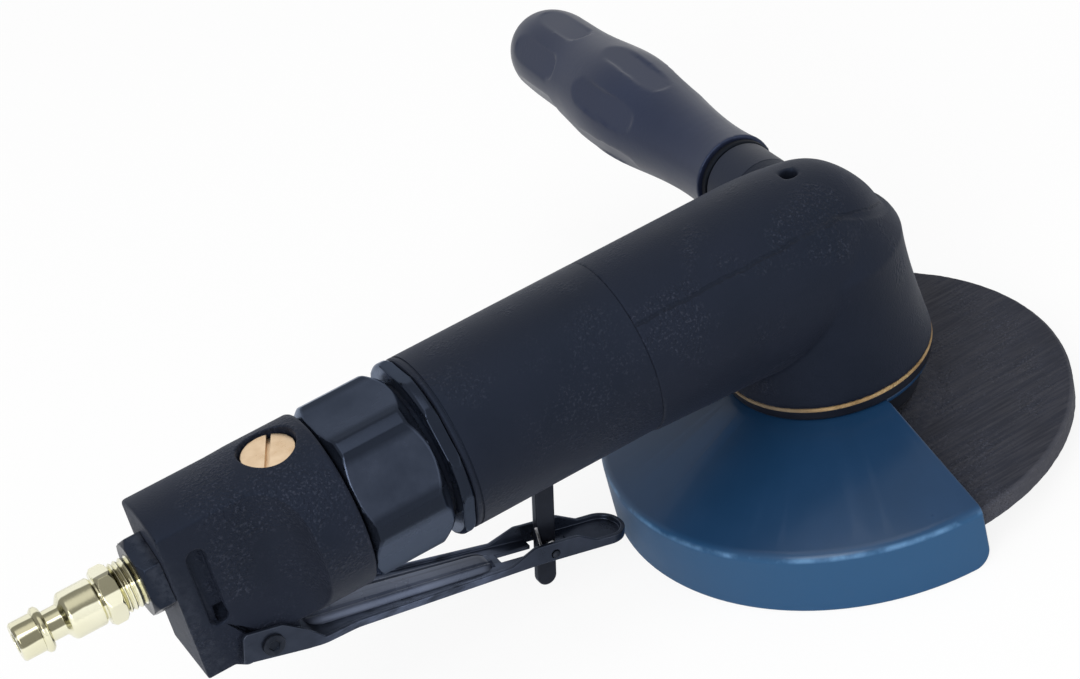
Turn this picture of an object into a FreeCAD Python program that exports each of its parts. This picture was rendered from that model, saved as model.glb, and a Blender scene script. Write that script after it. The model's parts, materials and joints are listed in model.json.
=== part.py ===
import FreeCAD, Part
import math
import os

# Pneumatic angle grinder for a 125 mm depressed-centre disc.
# X runs forward along the body, Y out along the side handle, Z up along the spindle.
# The places below count from where the body axis crosses the spindle axis.
# The finished pieces are lifted, so that the origin is the centre of the spindle's free end.

V = FreeCAD.Vector
CENTRE = V(0, 0, 0)
FULL_TURN = 360
HALF_TURN = 180
QUARTER_TURN = 90

# Driving dimensions
disc_diameter = 125.0
disc_thickness = 6.0
disc_bore_diameter = 22.23
spindle_thread_diameter = 14.0
body_diameter = 47.0
throttle_diameter = 46.2
head_seam_x = -59.0
sleeve_rear_x = -112.8
nut_rear_x = -140.3
throttle_rear_x = -187.4
disc_top_z = -53.5
guard_rim_z = -68.4
handle_end_y = 151.6

# Clearances
fit_gap = 0.05
running_gap = 0.05
face_gap = 0.2
loose_gap = 0.3
cut_overrun = 2.0
round_share = 0.98

# Spindle and what it carries
hub_raise = 5.0
disc_hub_radius = 21.5
disc_ramp_radius = 28.0
disc_edge_chamfer = 0.8
inner_flange_thickness = 3.0
inner_flange_radius = 19.5
inner_flange_recess = 0.5
inner_flange_rim_width = 4.5
flange_nut_thickness = 3.5
flange_nut_radius = 20.0
flange_nut_pilot_depth = 4.5
flange_nut_pin_hole_radius = 2.5
flange_nut_pin_circle_radius = 15.0
flange_nut_chamfer = 0.8
nose_free_length = 2.4
nose_pilot_radius = 5.5
nose_pilot_length = 2.2
shaft_chamfer = 0.8
spindle_shank_radius = 10.0
spindle_bearing_radius = 7.5
spindle_gear_radius = 6.0
spindle_top_radius = 4.0
disc_radius = disc_diameter / 2
disc_bore_radius = disc_bore_diameter / 2
thread_radius = spindle_thread_diameter / 2
hub_seat_z = disc_top_z + hub_raise
inner_flange_top_z = hub_seat_z + inner_flange_thickness
flange_nut_top_z = hub_seat_z - disc_thickness
flange_nut_bottom_z = flange_nut_top_z - flange_nut_thickness
nose_z = flange_nut_bottom_z - nose_free_length

# Gear head casting
body_radius = body_diameter / 2
dome_drop = 1.1
dome_start_x = -14.0
dome_angles = (90.0, 60.0, 30.0, 0.0)
head_base_z = -32.1
head_base_radius = 28.4
head_lip_height = 1.1
head_flare_radius = 26.3
head_flare_z = -15.0
head_wall_radius = 25.7
head_wall_z = -6.0
head_shoulder_z = 0.5
head_upper_radius = 23.8
head_upper_z = 4.5
head_slope_radius = 20.5
head_slope_z = 10.5
head_top_radius = 17.6
saddle_rear_rise = 0.4
saddle_rise = 1.5
saddle_drop = 1.5
saddle_full_x = -12.0
saddle_nose_x = -4.0
saddle_line_z = 15.6
saddle_bend_x = 1.3
saddle_nose_slope = 28.8
head_chamber_radius = 20.3
head_chamber_top_z = -4.4
pinion_chamber_radius = 12.2
pinion_chamber_rear_x = -31.0
head_top_wall = 6.5
gear_throat_drop = 1.2
top_hole_radius = 2.4
head_socket_depth = 9.0
head_socket_wall = 1.35
head_web_rear_x = -46.8
shaft_hole_radius = 6.4
handle_axis_x = 4.0
handle_axis_z = 2.3
handle_boss_rise = 0.7
dome_radius = body_radius - dome_drop
saddle_radius = body_radius + saddle_rise
handle_boss_y = max(body_radius, head_wall_radius) + handle_boss_rise
spindle_top_z = body_radius - head_top_wall

# Bearing cover under the head
gasket_thickness = 1.0
cover_flange_thickness = 2.9
cover_flange_radius = 27.9
cover_web_thickness = 2.9
cover_neck_radius = 21.0
cover_neck_gap = 0.6
cover_lip_height = 0.9
cover_screw_count = 4
cover_screw_circle_radius = 24.2
cover_screw_radius = 1.6
cover_screw_head_radius = 2.9
cover_screw_head_depth = 1.5
cover_screw_length = 9.0
cover_screw_socket_radius = 1.0
cover_screw_start_angle = 45.0
cover_spigot_radius = head_chamber_radius - fit_gap
cover_bore_radius = spindle_shank_radius + loose_gap
cover_top_z = head_base_z - gasket_thickness
cover_bottom_z = cover_top_z - cover_flange_thickness
cover_neck_bottom_z = inner_flange_top_z + cover_neck_gap

# Bearings and the ring that holds the lower one
lower_bearing_radius = 17.5
lower_bearing_width = 11.0
upper_bearing_radius = 6.0
upper_bearing_length = 9.0
rotor_bearing_radius = 9.5
rotor_bearing_width = 5.5
pinion_bearing_radius = 9.5
pinion_bearing_width = 7.0
race_share = 0.28
ball_share = 0.27
ball_count = 8
retaining_ring_thickness = 1.2
retaining_ring_width = 2.4
retaining_ring_groove_depth = 0.9
retaining_ring_opening = 9.0
lower_bearing_bottom_z = cover_top_z + cover_web_thickness
lower_bearing_top_z = lower_bearing_bottom_z + lower_bearing_width
gear_throat_top_z = spindle_top_z - upper_bearing_length - gear_throat_drop

# Bevel gears, whose cones meet where the axes cross
crown_teeth = 28
pinion_teeth = 12
gear_module = 1.3
gear_face_width = 5.8
addendum_share = 0.75
dedendum_share = 1.15
tooth_width_share = 0.82
root_sink_share = 0.35
pressure_angle = 20.0
crown_back_z = -14.6
crown_hub_radius = 9.4
crown_hub_top_z = -5.2
crown_hub_bottom_z = -16.0
pinion_back_x = -21.6
pinion_shaft_radius = 4.0
pinion_shaft_rear_x = -44.4
pinion_socket_depth = 4.0
key_width = 3.0
key_height = 2.0
key_length = 7.0

# Air motor
liner_wall_gap = 0.05
sleeve_wall = 2.6
motor_rear_x = -104.0
motor_front_x = -54.0
end_plate_thickness = 7.0
liner_wall = 3.9
liner_bore_offset = 1.5
liner_port_radius = 2.2
liner_port_count = 5
liner_port_pitch = 8.5
rotor_rear_shaft_radius = 3.5
rotor_front_shaft_radius = 4.0
rotor_nose_radius = 2.6
rotor_nose_length = 3.6
vane_count = 5
vane_thickness = 2.0
vane_root_radius = 8.2
dowel_radius = 1.5
dowel_cover = 2.7
dowel_inset = 2.0
sleeve_bore_radius = body_radius - sleeve_wall
liner_bore_radius = sleeve_bore_radius - liner_wall
rotor_radius = liner_bore_radius - liner_bore_offset - face_gap
dowel_circle_radius = sleeve_bore_radius - dowel_cover

# Motor housing, lock ring and coupling nut
sleeve_spigot_step = 5.2
sleeve_spigot_rear_x = -130.3
sleeve_spigot_wall = 3.3
sleeve_rim_groove_x = -111.6
sleeve_rim_groove_width = 0.5
sleeve_rim_groove_depth = 0.4
ring_wall = 4.2
ring_land_rise = 1.2
ring_thickness = 3.4
ring_turn = -6.0
ring_chamfer = 0.7
nut_wall = 2.7
nut_land_rise = 2.05
nut_face_drop = 0.4
nut_rear_chamfer = 1.9
nut_front_chamfer = 3.0
nut_ring_gap = 1.4
nut_shoulder_length = 4.3
snap_ring_thickness = 1.4
snap_ring_depth = 1.0
snap_ring_opening = 8.0
ring_front_x = sleeve_rear_x - face_gap
ring_rear_x = ring_front_x - ring_thickness
nut_front_x = ring_rear_x - nut_ring_gap
sleeve_spigot_radius = body_radius - sleeve_spigot_step
sleeve_spigot_bore_radius = sleeve_spigot_radius - sleeve_spigot_wall
ring_across_flats = 2 * (sleeve_spigot_radius + ring_wall)
ring_land_radius = ring_across_flats / 2 + ring_land_rise
nut_across_flats = 2 * (sleeve_spigot_radius + nut_wall)
nut_land_radius = nut_across_flats / 2 + nut_land_rise
nut_face_radius = nut_across_flats / 2 - nut_face_drop

# Throttle housing
throttle_front_x = -141.0
throttle_front_chamfer = 0.7
throttle_rear_chamfer = 0.6
throttle_spigot_step = 1.2
scallop_flat_y = 11.0
scallop_flat_front_x = -165.6
scallop_round_radius = 12.0
exhaust_slot_x = -179.6
exhaust_slot_width = 4.8
exhaust_slot_top_z = 13.0
exhaust_slot_bottom_z = -10.0
exhaust_slot_depth = 2.6
exhaust_channel_radius = 2.2
exhaust_channel_y = 8.3
exhaust_channel_z = -8.4
inlet_axis_z = 5.5
inlet_thread_radius = 7.9
inlet_thread_depth = 14.0
inlet_passage_radius = 4.6
valve_axis_x = -152.0
valve_bore_radius = 5.0
valve_chamber_bottom_z = -14.0
outlet_passage_radius = 3.0
outlet_passage_z = -10.6
stem_hole_radius = 2.1
seal_pocket_radius = 3.6
seal_pocket_depth = 2.2
regulator_recess_radius = 7.6
regulator_recess_z = 18.4
regulator_thread_radius = 6.5
regulator_bottom_z = 10.6
lug_rear_x = -177.0
lug_front_x = -161.6
lug_bottom_z = -25.4
heel_front_x = -180.0
heel_bottom_z = -23.3
lug_corner_radius = 2.4
lever_pivot_x = -170.0
lever_pivot_z = -21.6
throttle_radius = throttle_diameter / 2
throttle_spigot_radius = sleeve_spigot_radius - throttle_spigot_step

# Inlet bushing, screen and air nipple, lengths forward from the nipple's tip
bushing_across_flats = 19.0
bushing_length = 5.6
bushing_turn = 20.0
bushing_chamfer = 1.4
bushing_shank_depth = 12.0
nipple_thread_radius = 6.6
nipple_thread_root_radius = 5.9
nipple_thread_pitch = 1.34
nipple_thread_depth = 8.0
nipple_thread_show = 5.1
nipple_hex_across_flats = 13.2
nipple_hex_length = 4.4
nipple_hex_chamfer = 0.9
nipple_barrel_radius = 6.15
nipple_barrel_length = 8.2
nipple_barrel_gap = 0.7
nipple_barrel_gap_radius = 5.3
nipple_taper_length = 1.4
nipple_neck_radius = 3.95
nipple_neck_length = 3.9
nipple_collar_radius = 5.9
nipple_collar_length = 2.3
nipple_collar_round = 0.7
nipple_tip_radius = 5.0
nipple_tip_length = 5.7
nipple_tip_chamfer = 0.5
nipple_bore_radius = 2.6
screen_radius = 3.9
screen_height = 5.0
screen_wall = 0.5
screen_rim_radius = 5.4
screen_rim_thickness = 0.8

# Throttle valve
seat_bore_radius = 3.2
seat_top_z = -2.0
seat_height = 5.5
plunger_head_radius = 4.2
plunger_head_height = 2.4
plunger_stem_radius = 2.0
plunger_lever_gap = 0.4
plunger_tip_share = 0.9
valve_spring_radius = 4.0
valve_spring_wall = 1.0

# Regulator screw
regulator_head_radius = 7.0
regulator_top_z = 21.0
regulator_slot_width = 1.1
regulator_slot_depth = 1.4
regulator_slot_turn = -27.0
regulator_groove_z = 14.6
regulator_groove_width = 1.9
regulator_groove_radius = 5.1
regulator_head_round = 0.3

# Throttle lever, in its own straight frame from the pivot
lever_slope = 15.2
lever_sheet = 1.2
lever_bottom = 4.4
lever_rear_u = -7.8
lever_web_start_u = 10.8
lever_narrow_u = 14.0
lever_waist_u = 24.0
lever_front_u = 78.0
lever_tip_u = 105.0
lever_lug_gap = 0.7
lever_waist_half_width = 10.3
lever_front_half_width = 6.3
rear_ear_top = 4.6
rear_ear_top_u = 2.8
rear_ear_fall = 1.4
rear_ear_fall_u = 9.0
flange_top = -2.4
front_ear_top = 0.9
front_ear_start_u = 69.0
front_ear_rise_u = 76.0
front_ear_fall_u = 88.5
front_ear_end_u = 94.5
tip_wall_top = -1.9
ear_corner_radius = 1.6
rib_start_u = 24.0
rib_end_u = 66.0
rib_half_width = 3.0
rib_height = 1.1
latch_pin_u = 82.0
latch_pin_w = -2.4
latch_pin_radius = 1.1
latch_pin_overhang = 0.3
latch_slot_rear_u = 68.5
latch_slot_front_u = 88.5
pivot_pin_radius = 2.0
pivot_pin_head_radius = 2.9
pivot_pin_head_height = 0.7
pivot_pin_socket_radius = 1.3
pivot_pin_socket_depth = 0.5

# Safety latch and its spring
latch_width = 5.4
latch_thickness = 2.6
latch_lean = 13.1
latch_top_gap = 2.0
latch_tip_z = -57.5
latch_slot_gap = 0.5
latch_spring_wire_radius = 0.4
latch_spring_coil_radius = 1.75
latch_spring_turns = 1.75
latch_spring_pitch = 1.3
latch_spring_leg = 7.2
latch_spring_tilt = 15.5
gap_samples = 240
latch_top_z = -body_radius - latch_top_gap
lever_rear_half_width = scallop_flat_y + lever_lug_gap + lever_sheet

# Side handle
handle_neck_radius = 10.6
handle_neck_length = 9.4
handle_ring_radius = 11.0
handle_ring_width = 2.3
handle_ring_seat_radius = 8.2
handle_core_radius = 5.0
handle_core_end_y = 78.0
handle_thread_length = 9.9
grip_start_radius = 12.0
grip_shoulder_radius = 12.9
grip_shoulder_y = 70.0
grip_bulge_radius = 15.4
grip_bulge_y = 96.0
grip_waist_radius = 13.4
grip_waist_y = 119.0
grip_lobe_radius = 13.1
grip_lobe_y = 133.0
grip_cap_radius = 10.6
grip_cap_y = 147.0
grip_end_flat_radius = 6.5
dimple_count = 6
bulge_dimple_y = 89.0
bulge_dimple_length = 32.0
bulge_dimple_floor = 14.0
bulge_dimple_slope = 3.5
lobe_dimple_y = 129.5
lobe_dimple_length = 24.0
lobe_dimple_floor = 12.3
lobe_dimple_slope = 0.0
dimple_half_width = 4.2
dimple_turn = 6.0
handle_thread_root_y = handle_boss_y - handle_thread_length
handle_neck_end_y = handle_boss_y + face_gap + handle_neck_length

# Wheel guard and its clamp
guard_sheet = 1.8
guard_ring_radius = 29.5
guard_collar_radius = 27.0
guard_cone_foot_z = -50.4
guard_bend_radius = 3.4
guard_corner_radius = 5.0
guard_start_angle = 90.0
guard_sweep = 180.0
guard_neck_gap = 0.25
guard_disc_gap = 1.2
clamp_band_wall = 2.2
clamp_band_height = 7.0
clamp_gap = 3.0
clamp_lug_length = 10.0
clamp_lug_thickness = 3.2
clamp_screw_radius = 1.75
clamp_screw_head_radius = 2.9
clamp_screw_head_height = 3.0
clamp_nut_across_flats = 6.0
clamp_nut_height = 3.2
clamp_turn = 50.0
guard_radius = disc_radius + guard_disc_gap + guard_sheet

AXES = {
    "x": (V(1, 0, 0), V(0, 0, 1)),
    "y": (V(0, 1, 0), V(1, 0, 0)),
    "z": (V(0, 0, 1), V(1, 0, 0)),
}


# Helpers

def outline(points, radii=None):
    # Closed outline through the points, with an arc at each point that has a radius
    count = len(points)
    corners = []
    for i, p in enumerate(points):
        r = radii.get(i, 0) if radii else 0
        if not r:
            corners.append((p, None, p))
            continue
        back = (points[i - 1] - p).normalize()
        ahead = (points[(i + 1) % count] - p).normalize()
        half = back.getAngle(ahead) / 2
        reach = r / math.tan(half)
        middle = p + (back + ahead).normalize() * (r / math.sin(half) - r)
        corners.append((p + back * reach, middle, p + ahead * reach))
    edges = []
    for i, (start, middle, end) in enumerate(corners):
        if middle is not None:
            edges.append(Part.Arc(start, middle, end).toShape())
        edges.append(Part.LineSegment(end, corners[(i + 1) % count][0]).toShape())
    return Part.Wire(edges)


def turned(axis, points, at=CENTRE, radii=None, start=0, sweep=FULL_TURN):
    # Solid turned about an axis from (along, radius) points
    along, out = AXES[axis]
    places = [at + along * a + out * r for a, r in points]
    face = Part.Face(outline(places, radii))
    solid = face.revolve(at, along, sweep)
    if start:
        solid.rotate(at, along, start)
    return solid


def rod(axis, start, end, radius, at=CENTRE):
    along = AXES[axis][0]
    return Part.makeCylinder(radius, end - start, at + along * start, along)


def ring(axis, start, end, outer, inner, at=CENTRE):
    return turned(axis, [(start, inner), (end, inner), (end, outer), (start, outer)], at)


def block(low, high):
    return Part.makeBox(high[0] - low[0], high[1] - low[1], high[2] - low[2], V(*low))


def hexagon(axis, start, end, across_flats, at=CENTRE, turn=0):
    # Hex prism along an axis, its first corner turned from the axis's side direction
    along, out = AXES[axis]
    corner = across_flats / 2 / math.cos(math.radians(HALF_TURN / 6))
    places = []
    for i in range(6):
        spin = FreeCAD.Rotation(along, turn + i * FULL_TURN / 6)
        places.append(at + along * start + spin.multVec(out) * corner)
    face = Part.Face(Part.makePolygon(places + places[:1]))
    return face.extrude(along * (end - start))


def extruded(points, direction, radii=None):
    return Part.Face(outline(points, radii)).extrude(direction)


def fused(shapes):
    result = shapes[0].fuse(shapes[1:])
    return result.removeSplitter()


def bearing(axis, start, width, inner, outer):
    # Two rings with grooved races and the balls between them, as separate solids
    along = AXES[axis][0]
    depth = (outer - inner) * race_share
    middle_radius = (outer + inner) / 2
    ball_radius = (outer - inner) * ball_share
    centre = along * (start + width / 2)
    groove = Part.makeTorus(middle_radius, ball_radius + running_gap, centre, along)
    shapes = [ring(axis, start, start + width, outer, outer - depth).cut(groove)]
    shapes.append(ring(axis, start, start + width, inner + depth, inner).cut(groove))
    for i in range(ball_count):
        spin = FreeCAD.Rotation(along, i * FULL_TURN / ball_count)
        place = centre + spin.multVec(AXES[axis][1]) * middle_radius
        shapes.append(Part.makeSphere(ball_radius, place))
    return Part.makeCompound(shapes)


def helix_tube(axis_point, along, out, coil, pitch, turns, wire, lead):
    # One unbroken wire: a straight lead, turns of quarter-turn biarcs, and a straight lead
    side = along.cross(out)
    steps = int(turns * 4)

    def place(i):
        angle = math.radians(i * QUARTER_TURN)
        ring_point = out * math.cos(angle) + side * math.sin(angle)
        return axis_point + ring_point * coil + along * (pitch * i / 4)

    def heading(i):
        angle = math.radians(i * QUARTER_TURN)
        swing = side * math.cos(angle) - out * math.sin(angle)
        rise = pitch if 0 < i < steps else 0
        return (swing * coil * 2 * math.pi + along * rise).normalize()

    first = place(0) - heading(0) * lead
    last = place(steps) + heading(steps) * lead
    edges = [Part.LineSegment(first, place(0)).toShape()]
    for i in range(steps):
        edges += biarc(place(i), heading(i), place(i + 1), heading(i + 1))
    edges.append(Part.LineSegment(place(steps), last).toShape())
    path = Part.Wire(edges)
    section = Part.Wire([Part.makeCircle(wire, first, heading(0))])
    tube = path.makePipeShell([section], True, False)
    report_self_gap(path, wire, 2 * math.pi * coil)
    return tube


def biarc(p0, t0, p1, t1):
    # Two arcs that leave p0 along t0, reach p1 along t1 and share a tangent where they meet
    v = p1 - p0
    a = 2 * (1 - t0.dot(t1))
    b = 2 * v.dot(t0 + t1)
    d = (math.sqrt(b * b + 4 * a * v.dot(v)) - b) / (2 * a)
    q0 = p0 + t0 * d
    q1 = p1 - t1 * d
    meet = (q0 + q1) / 2
    return [Part.Arc(p0, arc_middle(p0, q0, meet), meet).toShape(),
            Part.Arc(meet, arc_middle(meet, q1, p1), p1).toShape()]


def arc_middle(start, corner, end):
    # Middle of the arc whose end tangents meet at the corner
    chord = (start + end) / 2
    half = (start - corner).getAngle(end - corner) / 2
    height = (start - chord).Length / math.cos(half) * (1 - math.sin(half))
    return chord + (corner - chord).normalize() * height


def report_self_gap(path, wire, turn_length):
    # Least clear distance between stretches of wire more than half a turn apart
    points = path.discretize(Number=gap_samples)
    apart = int(turn_length / 2 / path.Length * gap_samples)
    pairs = [(p, q) for i, p in enumerate(points) for q in points[i + apart:]]
    least = min((p - q).Length for p, q in pairs)
    print("least self-gap of the wire", round(least - 2 * wire, 2), "mm")


# Spindle group

def spindle():
    chamfer = shaft_chamfer
    profile = [
        (nose_z, 0), (nose_z, nose_pilot_radius),
        (nose_z + nose_pilot_length, nose_pilot_radius), (nose_z + nose_pilot_length, thread_radius),
        (inner_flange_top_z, thread_radius), (inner_flange_top_z, spindle_shank_radius),
        (lower_bearing_bottom_z - face_gap, spindle_shank_radius),
        (lower_bearing_bottom_z - face_gap, spindle_bearing_radius),
        (crown_hub_bottom_z, spindle_bearing_radius), (crown_hub_bottom_z, spindle_gear_radius),
        (gear_throat_top_z - face_gap, spindle_gear_radius),
        (gear_throat_top_z - face_gap, spindle_top_radius),
        (spindle_top_z - chamfer, spindle_top_radius),
        (spindle_top_z, spindle_top_radius - chamfer), (spindle_top_z, 0),
    ]
    shaft = turned("z", profile)
    key_low = crown_hub_bottom_z + face_gap
    return shaft.cut(key_block(key_low, key_low + key_length, 0))


def key_block(low, high, gap):
    half = key_width / 2 + gap
    inner = spindle_gear_radius - key_height / 2
    outer = spindle_gear_radius + key_height / 2 + gap
    return block((inner, -half, low), (outer, half, high))


def gear_key():
    low = crown_hub_bottom_z + face_gap
    return key_block(low, low + key_length, 0)


def gear_tooth(pitch_angle):
    # Straight tapered tooth in the gear's own frame: axis +Z, cone tip at the origin
    reach = gear_module * math.hypot(crown_teeth, pinion_teeth) / 2
    inner_share = (reach - gear_face_width) / reach
    s, c = math.sin(pitch_angle), math.cos(pitch_angle)
    element, normal = V(s, 0, c), V(c, 0, -s)
    top = gear_module * addendum_share
    root = -gear_module * (dedendum_share + root_sink_share)
    half = gear_module * math.pi / 4 * tooth_width_share
    lean = math.tan(math.radians(pressure_angle))
    sections = []
    for share in (1, inner_share):
        corners = []
        for height, side in ((root, -1), (root, 1), (top, 1), (top, -1)):
            width = (half - height * lean) * side
            corners.append((element * reach + normal * height + V(0, width, 0)) * share)
        sections.append(Part.makePolygon(corners + corners[:1]))
    return Part.makeLoft(sections, True, True)


def gear_blank(pitch_angle, back):
    # Root cone body behind the teeth, down to the flat back
    reach = gear_module * math.hypot(crown_teeth, pinion_teeth) / 2
    inner_share = (reach - gear_face_width) / reach
    s, c = math.sin(pitch_angle), math.cos(pitch_angle)
    drop = gear_module * dedendum_share
    outer = (reach * c + drop * s, reach * s - drop * c)
    inner = (outer[0] * inner_share, outer[1] * inner_share)
    return turned("z", [(inner[0], 0), inner, outer, (back, outer[1]), (back, 0)])


def bevel_gear(teeth, pitch_angle, back, first_tooth):
    blank = gear_blank(pitch_angle, back)
    tooth = gear_tooth(pitch_angle)
    shapes = [blank]
    for i in range(teeth):
        copy = tooth.copy()
        copy.rotate(CENTRE, AXES["z"][0], first_tooth + i * FULL_TURN / teeth)
        shapes.append(copy)
    return fused(shapes)


def crown_gear():
    gear = bevel_gear(crown_teeth, math.atan2(crown_teeth, pinion_teeth), -crown_back_z, 0)
    gear.rotate(CENTRE, AXES["x"][0], HALF_TURN)
    hub = rod("z", crown_hub_bottom_z, crown_hub_top_z, crown_hub_radius)
    bore = rod("z", crown_hub_bottom_z - cut_overrun, crown_hub_top_z + cut_overrun,
               spindle_gear_radius + fit_gap)
    gear = gear.fuse(hub).cut(bore)
    return gear.cut(key_block(crown_hub_bottom_z - cut_overrun, crown_hub_top_z + cut_overrun, fit_gap))


def bevel_pinion():
    half_pitch = HALF_TURN / pinion_teeth
    gear = bevel_gear(pinion_teeth, math.atan2(pinion_teeth, crown_teeth), -pinion_back_x, half_pitch)
    gear.rotate(CENTRE, AXES["y"][0], -QUARTER_TURN)
    shaft = rod("x", pinion_shaft_rear_x, pinion_back_x, pinion_shaft_radius)
    socket = rod("x", pinion_shaft_rear_x - cut_overrun, pinion_shaft_rear_x + pinion_socket_depth,
                 rotor_nose_radius + fit_gap)
    return gear.fuse(shaft).removeSplitter().cut(socket)


def inner_flange():
    bore = thread_radius + fit_gap
    rim = inner_flange_radius - inner_flange_rim_width
    bottom, top = hub_seat_z, inner_flange_top_z
    recess = bottom + inner_flange_recess
    profile = [(recess, bore), (recess, rim), (bottom, rim), (bottom, inner_flange_radius),
               (top, inner_flange_radius), (top, bore)]
    return turned("z", profile, radii={4: inner_flange_recess})


def grinding_disc():
    # Depressed centre: the hub sits above the rim, joined by a ramp
    bore = disc_bore_radius
    top, low = disc_top_z, disc_top_z - disc_thickness
    edge = disc_edge_chamfer
    profile = [
        (hub_seat_z - disc_thickness, bore), (hub_seat_z - disc_thickness, disc_hub_radius),
        (low, disc_ramp_radius), (low, disc_radius - edge), (low + edge, disc_radius),
        (top - edge, disc_radius), (top, disc_radius - edge),
        (top, disc_ramp_radius), (hub_seat_z, disc_hub_radius), (hub_seat_z, bore),
    ]
    return turned("z", profile)


def flange_nut():
    bottom, top = flange_nut_bottom_z, flange_nut_top_z
    pilot_top = top + flange_nut_pilot_depth
    pilot = disc_bore_radius - running_gap
    edge = flange_nut_chamfer
    bore = thread_radius + fit_gap
    profile = [(bottom, bore), (bottom, flange_nut_radius - edge), (bottom + edge, flange_nut_radius),
               (top, flange_nut_radius), (top, pilot), (pilot_top, pilot), (pilot_top, bore)]
    nut = turned("z", profile)
    for side in (-1, 1):
        place = V(0, side * flange_nut_pin_circle_radius, 0)
        nut = nut.cut(rod("z", bottom - cut_overrun, top - flange_nut_chamfer,
                          flange_nut_pin_hole_radius, place))
    return nut


# Gear head and bearing cover

def barrel():
    # Round barrel that eases into a slightly smaller dome
    rim = V(dome_start_x, 0, body_radius)
    places = [rim]
    for angle in dome_angles:
        turn = math.radians(angle)
        places.append(V(math.cos(turn), 0, math.sin(turn)) * dome_radius)
    side = Part.BSplineCurve()
    side.interpolate(Points=places, InitialTangent=AXES["x"][0], FinalTangent=-AXES["z"][0])
    corners = [places[-1], V(head_seam_x, 0, 0), V(head_seam_x, 0, body_radius), rim]
    edges = [side.toShape()]
    for start, end in zip(corners, corners[1:]):
        edges.append(Part.LineSegment(start, end).toShape())
    return Part.Face(Part.Wire(edges)).revolve(CENTRE, AXES["x"][0], FULL_TURN)


def head_body():
    # Body turned about the spindle: flared base, upright wall, and a slope that closes in above
    lip = V(head_base_radius, 0, head_base_z + head_lip_height)
    shoulder = V(head_wall_radius, 0, head_shoulder_z)
    side = Part.BSplineCurve()
    side.interpolate([lip, V(head_flare_radius, 0, head_flare_z), V(head_wall_radius, 0, head_wall_z),
                      shoulder])
    top = V(head_top_radius, 0, saddle_line_z)
    slope = Part.BSplineCurve()
    slope.interpolate([shoulder, V(head_upper_radius, 0, head_upper_z),
                       V(head_slope_radius, 0, head_slope_z), top])
    corners = [top, V(0, 0, saddle_line_z), V(0, 0, head_base_z),
               V(head_base_radius, 0, head_base_z), lip]
    edges = [side.toShape(), slope.toShape()]
    for start, end in zip(corners, corners[1:]):
        edges.append(Part.LineSegment(start, end).toShape())
    return Part.Face(Part.Wire(edges)).revolve(CENTRE, AXES["z"][0], FULL_TURN)


def saddle():
    # Prouder lower half of the casting, widening from the seam to a round nose
    along = AXES["x"][0]
    middle = V(0, 0, -saddle_drop)
    nose = V(saddle_nose_x, 0, -saddle_drop)
    rear = Part.makeCircle(body_radius + saddle_rear_rise, V(head_seam_x, 0, 0), along)
    full = Part.makeCircle(saddle_radius, V(saddle_full_x, 0, -saddle_drop), along)
    taper = Part.makeLoft([Part.Wire([rear]), Part.Wire([full])], True, True)
    straight = rod("x", saddle_full_x, saddle_nose_x, saddle_radius, middle)
    return taper.fuse([straight, Part.makeSphere(saddle_radius, nose)])


def above_crease():
    # Space over the crease line, level along the barrel and falling towards the nose
    half = saddle_radius + cut_overrun
    rear, front = head_seam_x - cut_overrun, head_base_radius + cut_overrun
    fall = (front - saddle_bend_x) * math.tan(math.radians(saddle_nose_slope))
    points = [V(rear, -half, saddle_line_z), V(saddle_bend_x, -half, saddle_line_z),
              V(front, -half, saddle_line_z - fall), V(front, -half, half), V(rear, -half, half)]
    return extruded(points, V(0, 2 * half, 0))


def head_cavity():
    chamber = rod("z", head_base_z - cut_overrun, head_chamber_top_z, head_chamber_radius)
    throat = rod("z", head_chamber_top_z - cut_overrun, gear_throat_top_z, pinion_chamber_radius)
    bearing_bore = rod("z", gear_throat_top_z - cut_overrun, spindle_top_z + face_gap,
                       upper_bearing_radius)
    top_hole = rod("z", spindle_top_z, body_radius + cut_overrun, top_hole_radius)
    tunnel = rod("x", pinion_chamber_rear_x, 0, pinion_chamber_radius)
    seat_rear = pinion_chamber_rear_x - pinion_bearing_width - face_gap
    seat = rod("x", seat_rear, pinion_chamber_rear_x + cut_overrun, pinion_bearing_radius + fit_gap)
    passage = rod("x", head_web_rear_x - cut_overrun, seat_rear + cut_overrun, shaft_hole_radius)
    motor_bore = rod("x", head_seam_x - cut_overrun, head_web_rear_x, sleeve_bore_radius)
    socket = rod("x", head_seam_x - cut_overrun, head_seam_x + head_socket_depth,
                 body_radius - head_socket_wall)
    return chamber.fuse([throat, bearing_bore, top_hole, tunnel, seat, passage, motor_bore, socket])


def handle_boss():
    return rod("y", 0, handle_boss_y, handle_neck_radius, handle_place())


def cover_screw_places():
    for i in range(cover_screw_count):
        angle = math.radians(cover_screw_start_angle + i * FULL_TURN / cover_screw_count)
        yield V(math.cos(angle), math.sin(angle), 0) * cover_screw_circle_radius


def gear_head_housing():
    lower = head_body().fuse(saddle()).cut(above_crease())
    casting = barrel().fuse([lower, handle_boss()])
    casting = casting.cut(head_cavity())
    stud_bore = rod("y", 0, handle_boss_y + cut_overrun, handle_core_radius + fit_gap, handle_place())
    keep_clear = rod("z", -body_radius, body_radius, handle_thread_root_y - running_gap)
    casting = casting.cut(stud_bore.cut(keep_clear))
    hole_top = cover_bottom_z + cover_screw_length + face_gap
    for place in cover_screw_places():
        casting = casting.cut(rod("z", head_base_z - cut_overrun, hole_top,
                                  cover_screw_radius + fit_gap, place))
    return casting.removeSplitter()


def head_gasket():
    gasket = ring("z", cover_top_z, head_base_z, head_base_radius, cover_spigot_radius + running_gap)
    for place in cover_screw_places():
        gasket = gasket.cut(rod("z", cover_top_z - cut_overrun, head_base_z + cut_overrun,
                                cover_screw_radius + fit_gap, place))
    return gasket


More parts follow.
